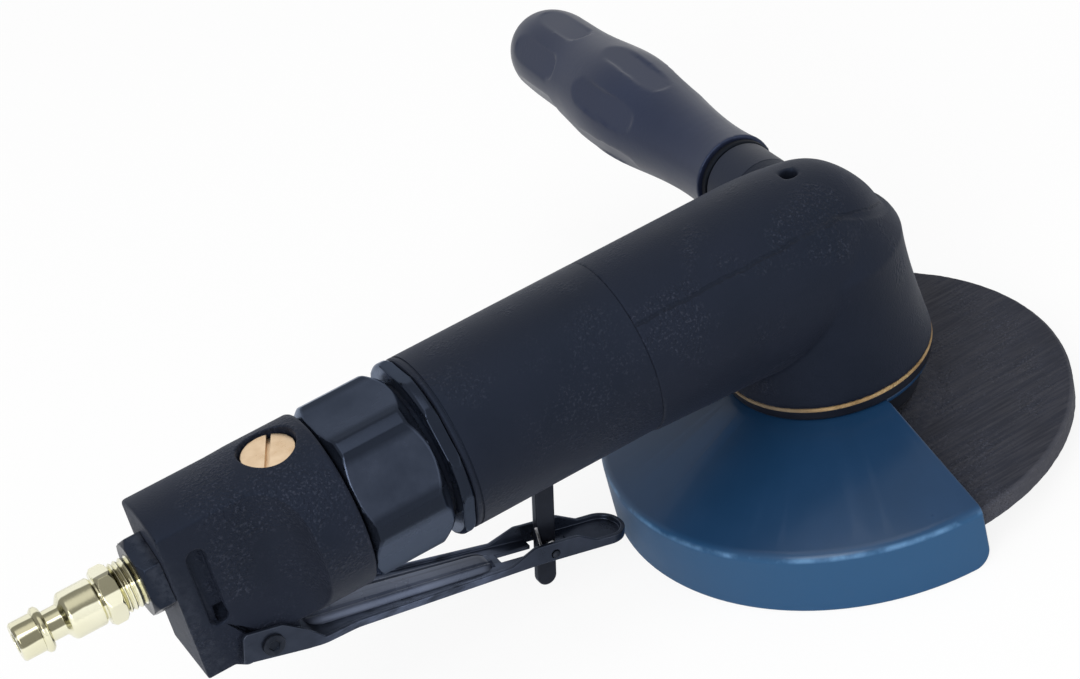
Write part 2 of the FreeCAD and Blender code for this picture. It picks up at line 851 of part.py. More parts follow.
def bearing_cover():
    cup = lower_bearing_radius + fit_gap
    ring_top = lower_bearing_top_z + retaining_ring_thickness + face_gap
    groove = cup + retaining_ring_groove_depth
    cup_top = ring_top + cover_lip_height
    profile = [
        (cover_neck_bottom_z, cover_bore_radius), (cover_neck_bottom_z, cover_neck_radius),
        (cover_bottom_z, cover_neck_radius), (cover_bottom_z, cover_flange_radius),
        (cover_top_z, cover_flange_radius), (cover_top_z, cover_spigot_radius),
        (cup_top, cover_spigot_radius), (cup_top, cup), (ring_top, cup), (ring_top, groove),
        (lower_bearing_top_z, groove), (lower_bearing_top_z, cup), (lower_bearing_bottom_z, cup),
        (lower_bearing_bottom_z, cover_bore_radius),
    ]
    cover = turned("z", profile)
    for place in cover_screw_places():
        cover = cover.cut(cover_screw_shape(place, fit_gap, cut_overrun))
    return cover


def cover_screw_shape(place, gap, overrun):
    head = cover_screw_head_radius + gap
    shank = cover_screw_radius + gap
    neck_z = cover_bottom_z + cover_screw_head_depth
    profile = [(cover_bottom_z, 0), (cover_bottom_z, head), (neck_z, shank),
               (cover_bottom_z + cover_screw_length, shank), (cover_bottom_z + cover_screw_length, 0)]
    shape = turned("z", profile, place)
    if overrun:
        shape = shape.fuse(rod("z", cover_bottom_z - overrun, cover_bottom_z, head, place))
    return shape


def cover_screws():
    screws = []
    for place in cover_screw_places():
        socket = hexagon("z", cover_bottom_z - cut_overrun, cover_bottom_z + cover_screw_head_depth,
                         2 * cover_screw_socket_radius, place)
        screws.append(cover_screw_shape(place, 0, 0).cut(socket))
    return Part.makeCompound(screws)


def retaining_ring():
    start, end = lower_bearing_top_z + running_gap, lower_bearing_top_z + retaining_ring_thickness
    outer = lower_bearing_radius + retaining_ring_groove_depth - running_gap
    whole = ring("z", start, end, outer, outer - retaining_ring_width)
    half = retaining_ring_opening / 2
    opening = block((0, -half, start - cut_overrun), (outer + cut_overrun, half, end + cut_overrun))
    return whole.cut(opening)


# Wheel guard and its clamp

def guard_section():
    # Sheet section from the ring down the cone and over the bend to the rim
    top = cover_bottom_z - face_gap
    inner = cover_neck_radius + guard_neck_gap
    slope = math.atan2(top - guard_cone_foot_z, guard_radius - guard_ring_radius)
    drop = guard_sheet / math.cos(slope)
    inset = guard_sheet
    foot_slope = (top - guard_cone_foot_z) / (guard_radius - guard_ring_radius)
    inner_foot_z = guard_cone_foot_z - drop + inset * foot_slope
    knee = guard_ring_radius - guard_sheet * math.tan(slope / 2)
    points = [(top, inner), (top, guard_ring_radius), (guard_cone_foot_z, guard_radius),
              (guard_rim_z, guard_radius), (guard_rim_z, guard_radius - inset),
              (inner_foot_z, guard_radius - inset), (top - guard_sheet, knee),
              (top - guard_sheet, inner)]
    radii = {2: guard_bend_radius, 5: guard_bend_radius - guard_sheet}
    return points, radii


def wheel_guard():
    points, radii = guard_section()
    shroud = turned("z", points, radii=radii, start=guard_start_angle, sweep=guard_sweep)
    top = cover_bottom_z - face_gap
    inner = cover_neck_radius + guard_neck_gap
    collar = ring("z", top - guard_sheet, top, guard_collar_radius, inner)
    guard = shroud.fuse(collar).removeSplitter()
    corners = []
    for edge in guard.Edges:
        middle = edge.CenterOfMass
        at_rim = abs(middle.z - guard_rim_z) < fit_gap
        if at_rim and abs(middle.x) < fit_gap and edge.Length < guard_sheet + fit_gap:
            corners.append(edge)
    return guard.makeFillet(guard_corner_radius, corners)


def clamp_lug_places():
    inner = clamp_gap / 2
    for side in (-1, 1):
        low, high = sorted((side * inner, side * (inner + clamp_lug_thickness)))
        yield low, high


def clamp_levels():
    top = cover_bottom_z - face_gap - guard_sheet
    return top - clamp_band_height, top


def clamped(shape):
    # Turned about the spindle, to the side of the guard's open half
    shape.rotate(CENTRE, AXES["z"][0], clamp_turn)
    return shape


def clamp_screw_place():
    low, high = clamp_levels()
    outer = cover_neck_radius + guard_neck_gap + clamp_band_wall
    return V(outer + clamp_lug_length / 2, 0, (low + high) / 2)


def guard_clamp_band():
    low, high = clamp_levels()
    inner = cover_neck_radius + guard_neck_gap
    band = ring("z", low, high, inner + clamp_band_wall, inner)
    end = inner + clamp_band_wall + clamp_lug_length
    root = inner + clamp_band_wall / 2
    lugs = [block((root, a, low), (end, b, high)) for a, b in clamp_lug_places()]
    half = clamp_gap / 2
    slit = block((0, -half, low - cut_overrun), (end + cut_overrun, half, high + cut_overrun))
    reach = half + clamp_lug_thickness + cut_overrun
    hole = rod("y", -reach, reach, clamp_screw_radius + fit_gap, clamp_screw_place())
    return clamped(band.fuse(lugs).cut(slit).cut(hole))


def clamp_screw():
    side = clamp_gap / 2 + clamp_lug_thickness
    at = clamp_screw_place()
    head = rod("y", -side - clamp_screw_head_height, -side, clamp_screw_head_radius, at)
    top = -side - clamp_screw_head_height
    socket = hexagon("y", top - cut_overrun, top + clamp_screw_head_height / 2, clamp_screw_head_radius, at)
    shank = rod("y", -side, side + clamp_nut_height, clamp_screw_radius, at)
    return clamped(head.fuse(shank).cut(socket))


def clamp_nut():
    side = clamp_gap / 2 + clamp_lug_thickness
    at = clamp_screw_place()
    nut = hexagon("y", side, side + clamp_nut_height, clamp_nut_across_flats, at)
    bore = rod("y", side - cut_overrun, side + clamp_nut_height + cut_overrun,
               clamp_screw_radius + fit_gap, at)
    return clamped(nut.cut(bore))


# Air motor

def motor_cylinder():
    outer = sleeve_bore_radius - liner_wall_gap
    body = rod("x", motor_rear_x, motor_front_x, outer)
    bore = rod("x", motor_rear_x - cut_overrun, motor_front_x + cut_overrun, liner_bore_radius,
               V(0, 0, liner_bore_offset))
    liner = body.cut(bore)
    middle = (motor_rear_x + motor_front_x) / 2
    for i in range(liner_port_count):
        x = middle + (i - (liner_port_count - 1) / 2) * liner_port_pitch
        liner = liner.cut(rod("y", 0, outer + cut_overrun, liner_port_radius, V(x, 0, liner_bore_offset)))
    return liner.cut(dowel_hole())


def dowel_hole():
    at = V(0, 0, -dowel_circle_radius)
    return rod("x", motor_rear_x - end_plate_thickness - cut_overrun,
               motor_front_x + end_plate_thickness - dowel_inset, dowel_radius + fit_gap, at)


def dowel_pin():
    at = V(0, 0, -dowel_circle_radius)
    return rod("x", motor_rear_x - end_plate_thickness + dowel_inset,
               motor_front_x + end_plate_thickness - dowel_inset - face_gap, dowel_radius, at)


def end_plate(start, bearing_start, shaft_radius):
    end = start + end_plate_thickness
    plate = rod("x", start, end, sleeve_bore_radius - liner_wall_gap)
    pocket = rod("x", bearing_start, bearing_start + rotor_bearing_width, rotor_bearing_radius + fit_gap)
    passage = rod("x", start - cut_overrun, end + cut_overrun, shaft_radius + loose_gap)
    return plate.cut(pocket).cut(passage).cut(dowel_hole())


def rear_bearing_start():
    return motor_rear_x - end_plate_thickness


def front_bearing_start():
    return motor_front_x + end_plate_thickness - rotor_bearing_width


def rear_end_plate():
    return end_plate(motor_rear_x - end_plate_thickness, rear_bearing_start(), rotor_rear_shaft_radius)


def front_end_plate():
    return end_plate(motor_front_x, front_bearing_start(), rotor_front_shaft_radius)


def vane_slot(i, gap, low, high):
    half = vane_thickness / 2 + gap
    slot = block((motor_rear_x + face_gap, -half, low), (motor_front_x - face_gap, half, high))
    slot.rotate(CENTRE, AXES["x"][0], i * FULL_TURN / vane_count)
    return slot


def rotor():
    shaft_end = pinion_shaft_rear_x
    profile = [
        (rear_bearing_start(), 0), (rear_bearing_start(), rotor_rear_shaft_radius),
        (motor_rear_x + face_gap, rotor_rear_shaft_radius), (motor_rear_x + face_gap, rotor_radius),
        (motor_front_x - face_gap, rotor_radius), (motor_front_x - face_gap, rotor_front_shaft_radius),
        (shaft_end, rotor_front_shaft_radius), (shaft_end, rotor_nose_radius),
        (shaft_end + rotor_nose_length, rotor_nose_radius), (shaft_end + rotor_nose_length, 0),
    ]
    shape = turned("x", profile)
    low, high = vane_root_radius - face_gap, rotor_radius + cut_overrun
    return shape.cut([vane_slot(i, running_gap, low, high) for i in range(vane_count)])


def rotor_vanes():
    tip = math.sqrt(rotor_radius ** 2 - (vane_thickness / 2) ** 2)
    return Part.makeCompound([vane_slot(i, 0, vane_root_radius, tip) for i in range(vane_count)])


# Motor housing, lock ring, coupling nut

def motor_housing():
    spigot_out = body_radius - head_socket_wall - fit_gap
    spigot_end = head_seam_x + head_socket_depth - face_gap
    rear_wall_x = motor_rear_x - end_plate_thickness
    groove_end = sleeve_rim_groove_x + sleeve_rim_groove_width
    groove_bottom = body_radius - sleeve_rim_groove_depth
    rim = body_radius - sleeve_rim_groove_depth
    profile = [
        (sleeve_spigot_rear_x, sleeve_spigot_bore_radius), (sleeve_spigot_rear_x, sleeve_spigot_radius),
        (sleeve_rear_x, sleeve_spigot_radius), (sleeve_rear_x, rim),
        (sleeve_rear_x + sleeve_rim_groove_depth, body_radius), (sleeve_rim_groove_x, body_radius),
        (sleeve_rim_groove_x, groove_bottom), (groove_end, groove_bottom), (groove_end, body_radius),
        (head_seam_x, body_radius), (head_seam_x, spigot_out), (spigot_end, spigot_out),
        (spigot_end, sleeve_bore_radius), (rear_wall_x, sleeve_bore_radius),
        (rear_wall_x, sleeve_spigot_bore_radius),
    ]
    return turned("x", profile)


def land_hexagon(start, end, across_flats, land, face_radius, chamfers, turn):
    # Hexagon whose corners are turned to a land and chamfered at both ends
    rear, front = chamfers
    body = hexagon("x", start, end, across_flats, turn=turn + HALF_TURN / 6)
    lathe = turned("x", [(start, 0), (start, face_radius), (start + rear, land),
                         (end - front, land), (end, face_radius), (end, 0)])
    return body.common(lathe)


def lock_ring():
    front = ring_front_x
    body = land_hexagon(ring_rear_x, front, ring_across_flats, ring_land_radius,
                        ring_land_radius - ring_chamfer, (ring_chamfer, ring_chamfer), ring_turn)
    return body.cut(rod("x", ring_rear_x - cut_overrun, front + cut_overrun,
                        sleeve_spigot_radius + fit_gap))


def coupling_nut():
    body = land_hexagon(nut_rear_x, nut_front_x, nut_across_flats, nut_land_radius,
                        nut_face_radius, (nut_rear_chamfer, nut_front_chamfer), 0)
    thread = rod("x", nut_rear_x + nut_shoulder_length, nut_front_x + cut_overrun,
                 sleeve_spigot_radius + fit_gap)
    opening = rod("x", nut_rear_x - cut_overrun, nut_front_x, throttle_spigot_radius + face_gap)
    return body.cut(thread).cut(opening)


def snap_ring():
    start = nut_rear_x + nut_shoulder_length + running_gap
    outer = sleeve_spigot_radius - face_gap
    inner = throttle_spigot_radius - snap_ring_depth + fit_gap
    whole = ring("x", start, start + snap_ring_thickness, outer, inner)
    half = snap_ring_opening / 2
    opening = block((start - cut_overrun, -half, 0),
                    (start + snap_ring_thickness + cut_overrun, half, outer + cut_overrun))
    return whole.cut(opening)


# Throttle housing

def throttle_body():
    rear, front = throttle_rear_x, throttle_front_x
    spigot_end = sleeve_spigot_rear_x - face_gap
    groove_start = nut_rear_x + nut_shoulder_length
    groove_end = groove_start + snap_ring_thickness + 2 * running_gap
    groove_bottom = throttle_spigot_radius - snap_ring_depth
    profile = [
        (rear, 0), (rear, throttle_radius - throttle_rear_chamfer),
        (rear + throttle_rear_chamfer, throttle_radius),
        (front - throttle_front_chamfer, throttle_radius),
        (front, throttle_radius - throttle_front_chamfer), (front, throttle_spigot_radius),
        (groove_start, throttle_spigot_radius), (groove_start, groove_bottom),
        (groove_end, groove_bottom), (groove_end, throttle_spigot_radius),
        (spigot_end, throttle_spigot_radius), (spigot_end, 0),
    ]
    return turned("x", profile)


def scallop(side):
    # Milled flat along one side that ends in an upright quarter round
    reach = throttle_radius + cut_overrun
    far = scallop_flat_y + scallop_round_radius
    low, high = sorted((side * scallop_flat_y, side * reach))
    flat = block((throttle_rear_x - cut_overrun, low, -reach), (scallop_flat_front_x, high, reach))
    cutter = rod("z", -reach, reach, scallop_round_radius, V(scallop_flat_front_x, side * far, 0))
    return flat.fuse(cutter)


def exhaust_slot(side):
    half = exhaust_slot_width / 2
    x, top, bottom = exhaust_slot_x, exhaust_slot_top_z, exhaust_slot_bottom_z
    points = [V(x - half, 0, bottom), V(x + half, 0, bottom), V(x + half, 0, top), V(x - half, 0, top)]
    rounds = {i: half * round_share for i in range(len(points))}
    shape = extruded(points, V(0, exhaust_slot_depth + cut_overrun, 0), rounds)
    inner = scallop_flat_y - exhaust_slot_depth
    shape.translate(V(0, inner if side > 0 else -inner - exhaust_slot_depth - cut_overrun, 0))
    channel = rod("x", x, sleeve_spigot_rear_x, exhaust_channel_radius,
                  V(0, side * exhaust_channel_y, exhaust_channel_z))
    return shape.fuse(channel)


def lever_lug():
    # Lug that carries the lever's pin, with a lower heel behind it up to the rear face
    half = scallop_flat_y
    points = [V(throttle_rear_x, -half, 0), V(lug_front_x, -half, 0),
              V(lug_front_x, -half, lug_bottom_z), V(lug_rear_x, -half, lug_bottom_z),
              V(heel_front_x, -half, heel_bottom_z), V(throttle_rear_x, -half, heel_bottom_z)]
    return extruded(points, V(0, 2 * half, 0), {2: lug_corner_radius, 3: lug_corner_radius})


def throttle_housing():
    body = throttle_body().cut([scallop(-1), scallop(1)])
    body = body.fuse(lever_lug()).removeSplitter()
    inlet = V(0, 0, inlet_axis_z)
    rear = throttle_rear_x
    valve = V(valve_axis_x, 0, 0)
    pin_place = V(lever_pivot_x, 0, lever_pivot_z)
    reach = scallop_flat_y + cut_overrun
    cuts = [
        exhaust_slot(-1), exhaust_slot(1),
        rod("x", rear - cut_overrun, rear + inlet_thread_depth, inlet_thread_radius + fit_gap, inlet),
        rod("x", rear, valve_axis_x, inlet_passage_radius, inlet),
        rod("z", regulator_recess_z, throttle_radius + cut_overrun, regulator_recess_radius, valve),
        rod("z", regulator_bottom_z, throttle_radius, regulator_thread_radius + running_gap, valve),
        rod("z", valve_chamber_bottom_z, regulator_bottom_z + cut_overrun, valve_bore_radius, valve),
        rod("z", valve_chamber_bottom_z - seal_pocket_depth, valve_chamber_bottom_z + cut_overrun,
            seal_pocket_radius, valve),
        rod("z", -throttle_radius - cut_overrun, 0, stem_hole_radius, valve),
        rod("x", valve_axis_x, sleeve_spigot_rear_x, outlet_passage_radius, V(0, 0, outlet_passage_z)),
        rod("y", -reach, reach, pivot_pin_radius + fit_gap, pin_place),
    ]
    return body.cut(cuts)


# Inlet

def inlet_bushing():
    at = V(0, 0, inlet_axis_z)
    rear = throttle_rear_x - bushing_length
    end = throttle_rear_x + bushing_shank_depth
    hexed = hexagon("x", rear, throttle_rear_x, bushing_across_flats, at, bushing_turn + HALF_TURN / 6)
    corner = bushing_across_flats / 2 / math.cos(math.radians(HALF_TURN / 6))
    lathe = turned("x", [(rear, 0), (rear, corner - bushing_chamfer), (rear + bushing_chamfer, corner),
                         (throttle_rear_x, corner), (throttle_rear_x, 0)], at)
    shank = rod("x", throttle_rear_x, end, inlet_thread_radius, at)
    bore = rod("x", rear - cut_overrun, rear + nipple_thread_depth + face_gap,
               nipple_thread_radius + fit_gap, at)
    passage = rod("x", rear, end + cut_overrun, inlet_passage_radius, at)
    seat = rod("x", rear, rear + nipple_thread_depth + 2 * face_gap + screen_rim_thickness,
               screen_rim_radius + fit_gap, at)
    return hexed.common(lathe).fuse(shank).cut([bore, passage, seat])


def inlet_screen():
    # Domed strainer whose rim sits behind the nipple's end
    at = V(0, 0, inlet_axis_z)
    start = throttle_rear_x - bushing_length + nipple_thread_depth + face_gap
    rim = start + screen_rim_thickness
    top = start + screen_height
    wall = screen_wall
    profile = [(start, screen_radius - wall), (start, screen_rim_radius), (rim, screen_rim_radius),
               (rim, screen_radius), (top, screen_radius), (top, 0), (top - wall, 0),
               (top - wall, screen_radius - wall)]
    return turned("x", profile, at, {4: screen_radius / 2, 7: (screen_radius - wall) / 2})


def nipple_threads(start, count):
    # Ridge and groove pairs of the thread that shows behind the hex
    points = []
    for i in range(count):
        x = start + i * nipple_thread_pitch
        points += [(x, nipple_thread_root_radius), (x + nipple_thread_pitch / 2, nipple_thread_radius)]
    return points


def air_nipple():
    at = V(0, 0, inlet_axis_z)
    mouth = throttle_rear_x - bushing_length
    hex_front = mouth - nipple_thread_show
    hex_rear = hex_front - nipple_hex_length
    barrel_front = hex_rear - nipple_barrel_gap
    barrel_rear = barrel_front - nipple_barrel_length
    neck_front = barrel_rear - nipple_taper_length
    collar_front = neck_front - nipple_neck_length
    collar_rear = collar_front - nipple_collar_length
    tip = collar_rear - nipple_tip_length
    turns = int(nipple_thread_show / nipple_thread_pitch)
    shoulder = (barrel_rear, nipple_barrel_radius)
    edge = (barrel_front, nipple_barrel_radius)
    profile = [
        (tip, nipple_bore_radius), (tip, nipple_tip_radius - nipple_tip_chamfer),
        (tip + nipple_tip_chamfer, nipple_tip_radius), (collar_rear, nipple_tip_radius),
        (collar_rear, nipple_collar_radius - nipple_collar_round),
        (collar_rear + nipple_collar_round, nipple_collar_radius),
        (collar_front - nipple_collar_round, nipple_collar_radius),
        (collar_front, nipple_collar_radius - nipple_collar_round), (collar_front, nipple_neck_radius),
        (neck_front, nipple_neck_radius), shoulder, edge, (barrel_front, nipple_barrel_gap_radius),
        (hex_front, nipple_barrel_gap_radius),
    ]
    profile += nipple_threads(hex_front + nipple_thread_pitch / 4, turns)
    profile += [(mouth, nipple_thread_root_radius), (mouth, nipple_thread_radius),
                (mouth + nipple_thread_depth, nipple_thread_radius),
                (mouth + nipple_thread_depth, nipple_bore_radius)]
    rounds = {profile.index(shoulder): nipple_taper_length, profile.index(edge): nipple_collar_round}
    body = turned("x", profile, at, rounds)
    corner = nipple_hex_across_flats / 2 / math.cos(math.radians(HALF_TURN / 6))
    land = corner - nipple_hex_chamfer
    flats = hexagon("x", hex_rear, hex_front, nipple_hex_across_flats, at, bushing_turn)
    lathe = turned("x", [(hex_rear, 0), (hex_rear, land), (hex_rear + nipple_hex_chamfer, corner),
                         (hex_front - nipple_hex_chamfer, corner), (hex_front, land), (hex_front, 0)], at)
    bore = rod("x", hex_rear - cut_overrun, hex_front + cut_overrun, nipple_bore_radius, at)
    return body.fuse(flats.common(lathe).cut(bore))


# Throttle valve and regulator

def valve_seat_bush():
    return ring("z", seat_top_z - seat_height, seat_top_z, valve_bore_radius, seat_bore_radius,
                V(valve_axis_x, 0, 0))


def plunger_foot_z():
    # Height of the lever's web under the stem, plus the gap left at rest
    slope = math.radians(lever_slope)
    top = lever_bottom - lever_sheet
    along = valve_axis_x - lever_pivot_x
    return lever_pivot_z - top / math.cos(slope) - along * math.tan(slope) + plunger_lever_gap


def valve_plunger():
    base = seat_top_z + running_gap
    foot = plunger_foot_z()
    stem = plunger_stem_radius
    profile = [(foot, 0), (foot, stem), (base, stem), (base, plunger_head_radius),
               (base + plunger_head_height, plunger_head_radius), (base + plunger_head_height, 0)]
    return turned("z", profile, V(valve_axis_x, 0, 0), {1: stem * plunger_tip_share})


def valve_spring():
    start = seat_top_z + running_gap + plunger_head_height + running_gap
    end = regulator_bottom_z - running_gap
    return ring("z", start, end, valve_spring_radius, valve_spring_radius - valve_spring_wall,
                V(valve_axis_x, 0, 0))


def stem_seal():
    middle = (plunger_stem_radius + running_gap + seal_pocket_radius) / 2
    wire = (seal_pocket_radius - plunger_stem_radius - 2 * running_gap) / 2
    place = V(valve_axis_x, 0, valve_chamber_bottom_z - seal_pocket_depth + wire + running_gap)
    return Part.makeTorus(middle, wire, place)


def regulator_screw():
    top = regulator_top_z
    low = regulator_groove_z - regulator_groove_width / 2
    high = regulator_groove_z + regulator_groove_width / 2
    profile = [
        (regulator_bottom_z, 0), (regulator_bottom_z, regulator_thread_radius),
        (low, regulator_thread_radius), (low, regulator_groove_radius),
        (high, regulator_groove_radius), (high, regulator_thread_radius),
        (regulator_recess_z + running_gap, regulator_thread_radius),
        (regulator_recess_z + running_gap, regulator_head_radius), (top, regulator_head_radius), (top, 0),
    ]
    place = V(valve_axis_x, 0, 0)
    screw = turned("z", profile, place, {8: regulator_head_round})
    reach = regulator_head_radius + cut_overrun
    half = regulator_slot_width / 2
    slot = block((-half, -reach, top - regulator_slot_depth), (half, reach, top + cut_overrun))
    slot.rotate(CENTRE, AXES["z"][0], regulator_slot_turn)
    slot.translate(place)
    return screw.cut(slot)


def regulator_seal():
    wire = (regulator_thread_radius - regulator_groove_radius) / 2
    return Part.makeTorus(regulator_groove_radius + wire, wire, V(valve_axis_x, 0, regulator_groove_z))


# Throttle lever, modelled straight from its pivot and then sloped down to the front

def lever_plan(inset, low, high, rear):
    # Plan outline, widest at the pivot and waisted towards the tip
    wide = lever_rear_half_width - inset
    waist = lever_waist_half_width - inset
    slim = lever_front_half_width - inset
    tip = lever_tip_u - inset
    side = [(rear, wide), (lever_narrow_u, wide), (lever_waist_u, waist), (lever_front_u, slim),
            (tip, slim)]
    points = [V(u, -y, low) for u, y in side] + [V(u, y, low) for u, y in reversed(side)]
    radii = {1: lever_rear_half_width, 2: lever_rear_half_width, 7: lever_rear_half_width,
             8: lever_rear_half_width, 4: slim * round_share, 5: slim * round_share}
    return extruded(points, V(0, 0, high - low), radii)


def lever_side():
    # Side view of the walls: high ears at both ends and a low flange between
    low = -lever_bottom
    points = [
        (lever_rear_u, low + ear_corner_radius / 2), (lever_rear_u, rear_ear_top),
        (rear_ear_top_u, rear_ear_top), (rear_ear_fall_u, rear_ear_fall),
        (lever_narrow_u, flange_top), (front_ear_start_u, flange_top),
        (front_ear_rise_u, front_ear_top), (front_ear_fall_u, front_ear_top),
        (front_ear_end_u, tip_wall_top), (lever_tip_u + cut_overrun, tip_wall_top),
        (lever_tip_u + cut_overrun, low), (rear_ear_fall_u, low),
    ]
    r = ear_corner_radius
    reach = lever_rear_half_width + cut_overrun
    places = [V(u, -reach, w) for u, w in points]
    return extruded(places, V(0, 2 * reach, 0), {1: r, 2: r, 3: r, 6: r, 7: r, 8: r})


def lever_rib():
    # Pressed rib down the middle of the web
    top = lever_sheet - lever_bottom
    foot = top - lever_sheet / 2
    half, crest = rib_half_width, rib_half_width / 2
    section = [(-half, foot), (-half, top), (-crest, top + rib_height), (crest, top + rib_height),
               (half, top), (half, foot)]
    places = [V(rib_start_u, y, w) for y, w in section]
    return extruded(places, V(rib_end_u - rib_start_u, 0, 0), {2: rib_height, 3: rib_height})


def throttle_lever():
    low, high = -lever_bottom, rear_ear_top
    web_top = low + lever_sheet
    tub = lever_plan(0, low, high, lever_rear_u)
    hollow = lever_plan(lever_sheet, web_top, high + cut_overrun, lever_rear_u - cut_overrun)
    lever = tub.cut(hollow).common(lever_side())
    inner = lever_rear_half_width - lever_sheet
    front_inner = lever_front_half_width - lever_sheet
    slot_half = latch_thickness / 2 + latch_slot_gap
    window_half = latch_width / 2 + latch_slot_gap
    lever = lever.fuse(lever_rib())
    cuts = [
        block((lever_rear_u - cut_overrun, -inner, low - cut_overrun), (lever_web_start_u, inner, high)),
        block((latch_slot_rear_u, -slot_half, low - cut_overrun), (latch_slot_front_u, slot_half, high)),
        block((latch_pin_u - window_half, -front_inner, low - cut_overrun),
              (latch_pin_u + window_half, front_inner, high)),
        rod("y", -lever_rear_half_width - cut_overrun, lever_rear_half_width + cut_overrun,
            pivot_pin_radius + running_gap),
        rod("y", -lever_rear_half_width, lever_rear_half_width, latch_pin_radius + fit_gap,
            V(latch_pin_u, 0, latch_pin_w)),
    ]
    return sloped(lever.cut(cuts))


def sloped(shape):
    # From the lever's straight frame to its place at rest
    shape = shape.copy()
    shape.rotate(CENTRE, AXES["y"][0], lever_slope)
    shape.translate(V(lever_pivot_x, 0, lever_pivot_z))
    return shape


def sloped_place(u, w):
    spin = FreeCAD.Rotation(AXES["y"][0], lever_slope)
    return spin.multVec(V(u, 0, w)) + V(lever_pivot_x, 0, lever_pivot_z)


def lever_pivot_pin():
    # Headed pin with a hex socket that fills the lug and both ears
    at = V(lever_pivot_x, 0, lever_pivot_z)
    side = lever_rear_half_width + face_gap
    head_end = -side - pivot_pin_head_height
    head = rod("y", head_end, -side, pivot_pin_head_radius, at)
    shank = rod("y", -side, side + pivot_pin_head_height, pivot_pin_radius, at)
    socket = hexagon("y", head_end - cut_overrun, head_end + pivot_pin_socket_depth,
                     2 * pivot_pin_socket_radius, at)
    return head.fuse(shank).cut(socket)


def latch_pin():
    reach = lever_front_half_width + latch_pin_overhang
    return sloped(rod("y", -reach, reach, latch_pin_radius, V(latch_pin_u, 0, latch_pin_w)))


def latch_spring():
    spin = FreeCAD.Rotation(AXES["y"][0], -latch_spring_tilt)
    out = spin.multVec(V(0, 0, 1))
    width = latch_spring_turns * latch_spring_pitch
    inner = lever_front_half_width - lever_sheet
    start = -(inner + latch_thickness / 2 + width) / 2
    at = V(latch_pin_u, start, latch_pin_w)
    tube = helix_tube(at, AXES["y"][0], out, latch_spring_coil_radius, latch_spring_pitch,
                      latch_spring_turns, latch_spring_wire_radius, latch_spring_leg)
    return sloped(tube)


def safety_latch():
    # Flat tab with round ends on the latch pin, leaning forward at the top
    pin = sloped_place(latch_pin_u, latch_pin_w)
    lean = math.tan(math.radians(latch_lean))
    half = latch_width / 2
    side = V(math.cos(math.radians(latch_lean)), 0, -math.sin(math.radians(latch_lean))) * half
    upper = V(pin.x + (latch_top_z - half - pin.z) * lean, -latch_thickness / 2, latch_top_z - half)
    lower = V(pin.x + (latch_tip_z + half - pin.z) * lean, -latch_thickness / 2, latch_tip_z + half)
    along = (upper - lower).normalize() * half
    edges = [
        Part.LineSegment(lower - side, upper - side).toShape(),
        Part.Arc(upper - side, upper + along, upper + side).toShape(),
        Part.LineSegment(upper + side, lower + side).toShape(),
        Part.Arc(lower + side, lower - along, lower - side).toShape(),
    ]
    tab = Part.Face(Part.Wire(edges)).extrude(V(0, latch_thickness, 0))
    return tab.cut(rod("y", -latch_thickness, latch_thickness, latch_pin_radius + running_gap, pin))


# Side handle

def handle_place():
    return V(handle_axis_x, 0, handle_axis_z)


def handle_stud():
    # Steel core: thread in the head, the neck collar outside it and the core in the grip
    ring_end = handle_neck_end_y + handle_ring_width
    profile = [
        (handle_thread_root_y, 0), (handle_thread_root_y, handle_core_radius - shaft_chamfer),
        (handle_thread_root_y + shaft_chamfer, handle_core_radius),
        (handle_boss_y + face_gap, handle_core_radius), (handle_boss_y + face_gap, handle_neck_radius),
        (handle_neck_end_y, handle_neck_radius),
        (handle_neck_end_y, handle_ring_seat_radius), (ring_end, handle_ring_seat_radius),
        (ring_end, handle_core_radius), (handle_core_end_y, handle_core_radius), (handle_core_end_y, 0),
    ]
    return turned("y", profile, handle_place(), {5: shaft_chamfer})


def handle_ring():
    start = handle_neck_end_y + running_gap
    return ring("y", start, start + handle_ring_width - 2 * running_gap, handle_ring_radius,
                handle_ring_seat_radius + running_gap, handle_place())


def grip_profile():
    start = handle_neck_end_y + handle_ring_width + running_gap
    at = handle_place()
    knots = [(start, grip_start_radius), (grip_shoulder_y, grip_shoulder_radius),
             (grip_bulge_y, grip_bulge_radius), (grip_waist_y, grip_waist_radius),
             (grip_lobe_y, grip_lobe_radius), (grip_cap_y, grip_cap_radius),
             (handle_end_y, grip_end_flat_radius)]
    side = Part.BSplineCurve()
    side.interpolate([at + V(r, y, 0) for y, r in knots])
    corners = [knots[-1], (handle_end_y, 0), (start, 0), knots[0]]
    edges = [side.toShape()]
    for (y0, r0), (y1, r1) in zip(corners, corners[1:]):
        edges.append(Part.LineSegment(at + V(r0, y0, 0), at + V(r1, y1, 0)).toShape())
    return Part.Face(Part.Wire(edges))


def dimple(y, length, floor, slope, turn):
    # Shallow oblong recess with round ends, its floor sloping with the grip's side
    half, ends = dimple_half_width, length / 2 - dimple_half_width
    top = grip_bulge_radius + cut_overrun
    slab = block((-half, -ends, floor), (half, ends, top))
    shape = slab.fuse([rod("z", floor, top, half, V(0, side * ends, 0)) for side in (-1, 1)])
    shape.rotate(V(0, 0, floor), AXES["x"][0], slope)
    shape.rotate(CENTRE, AXES["y"][0], turn)
    shape.translate(handle_place() + V(0, y, 0))
    return shape


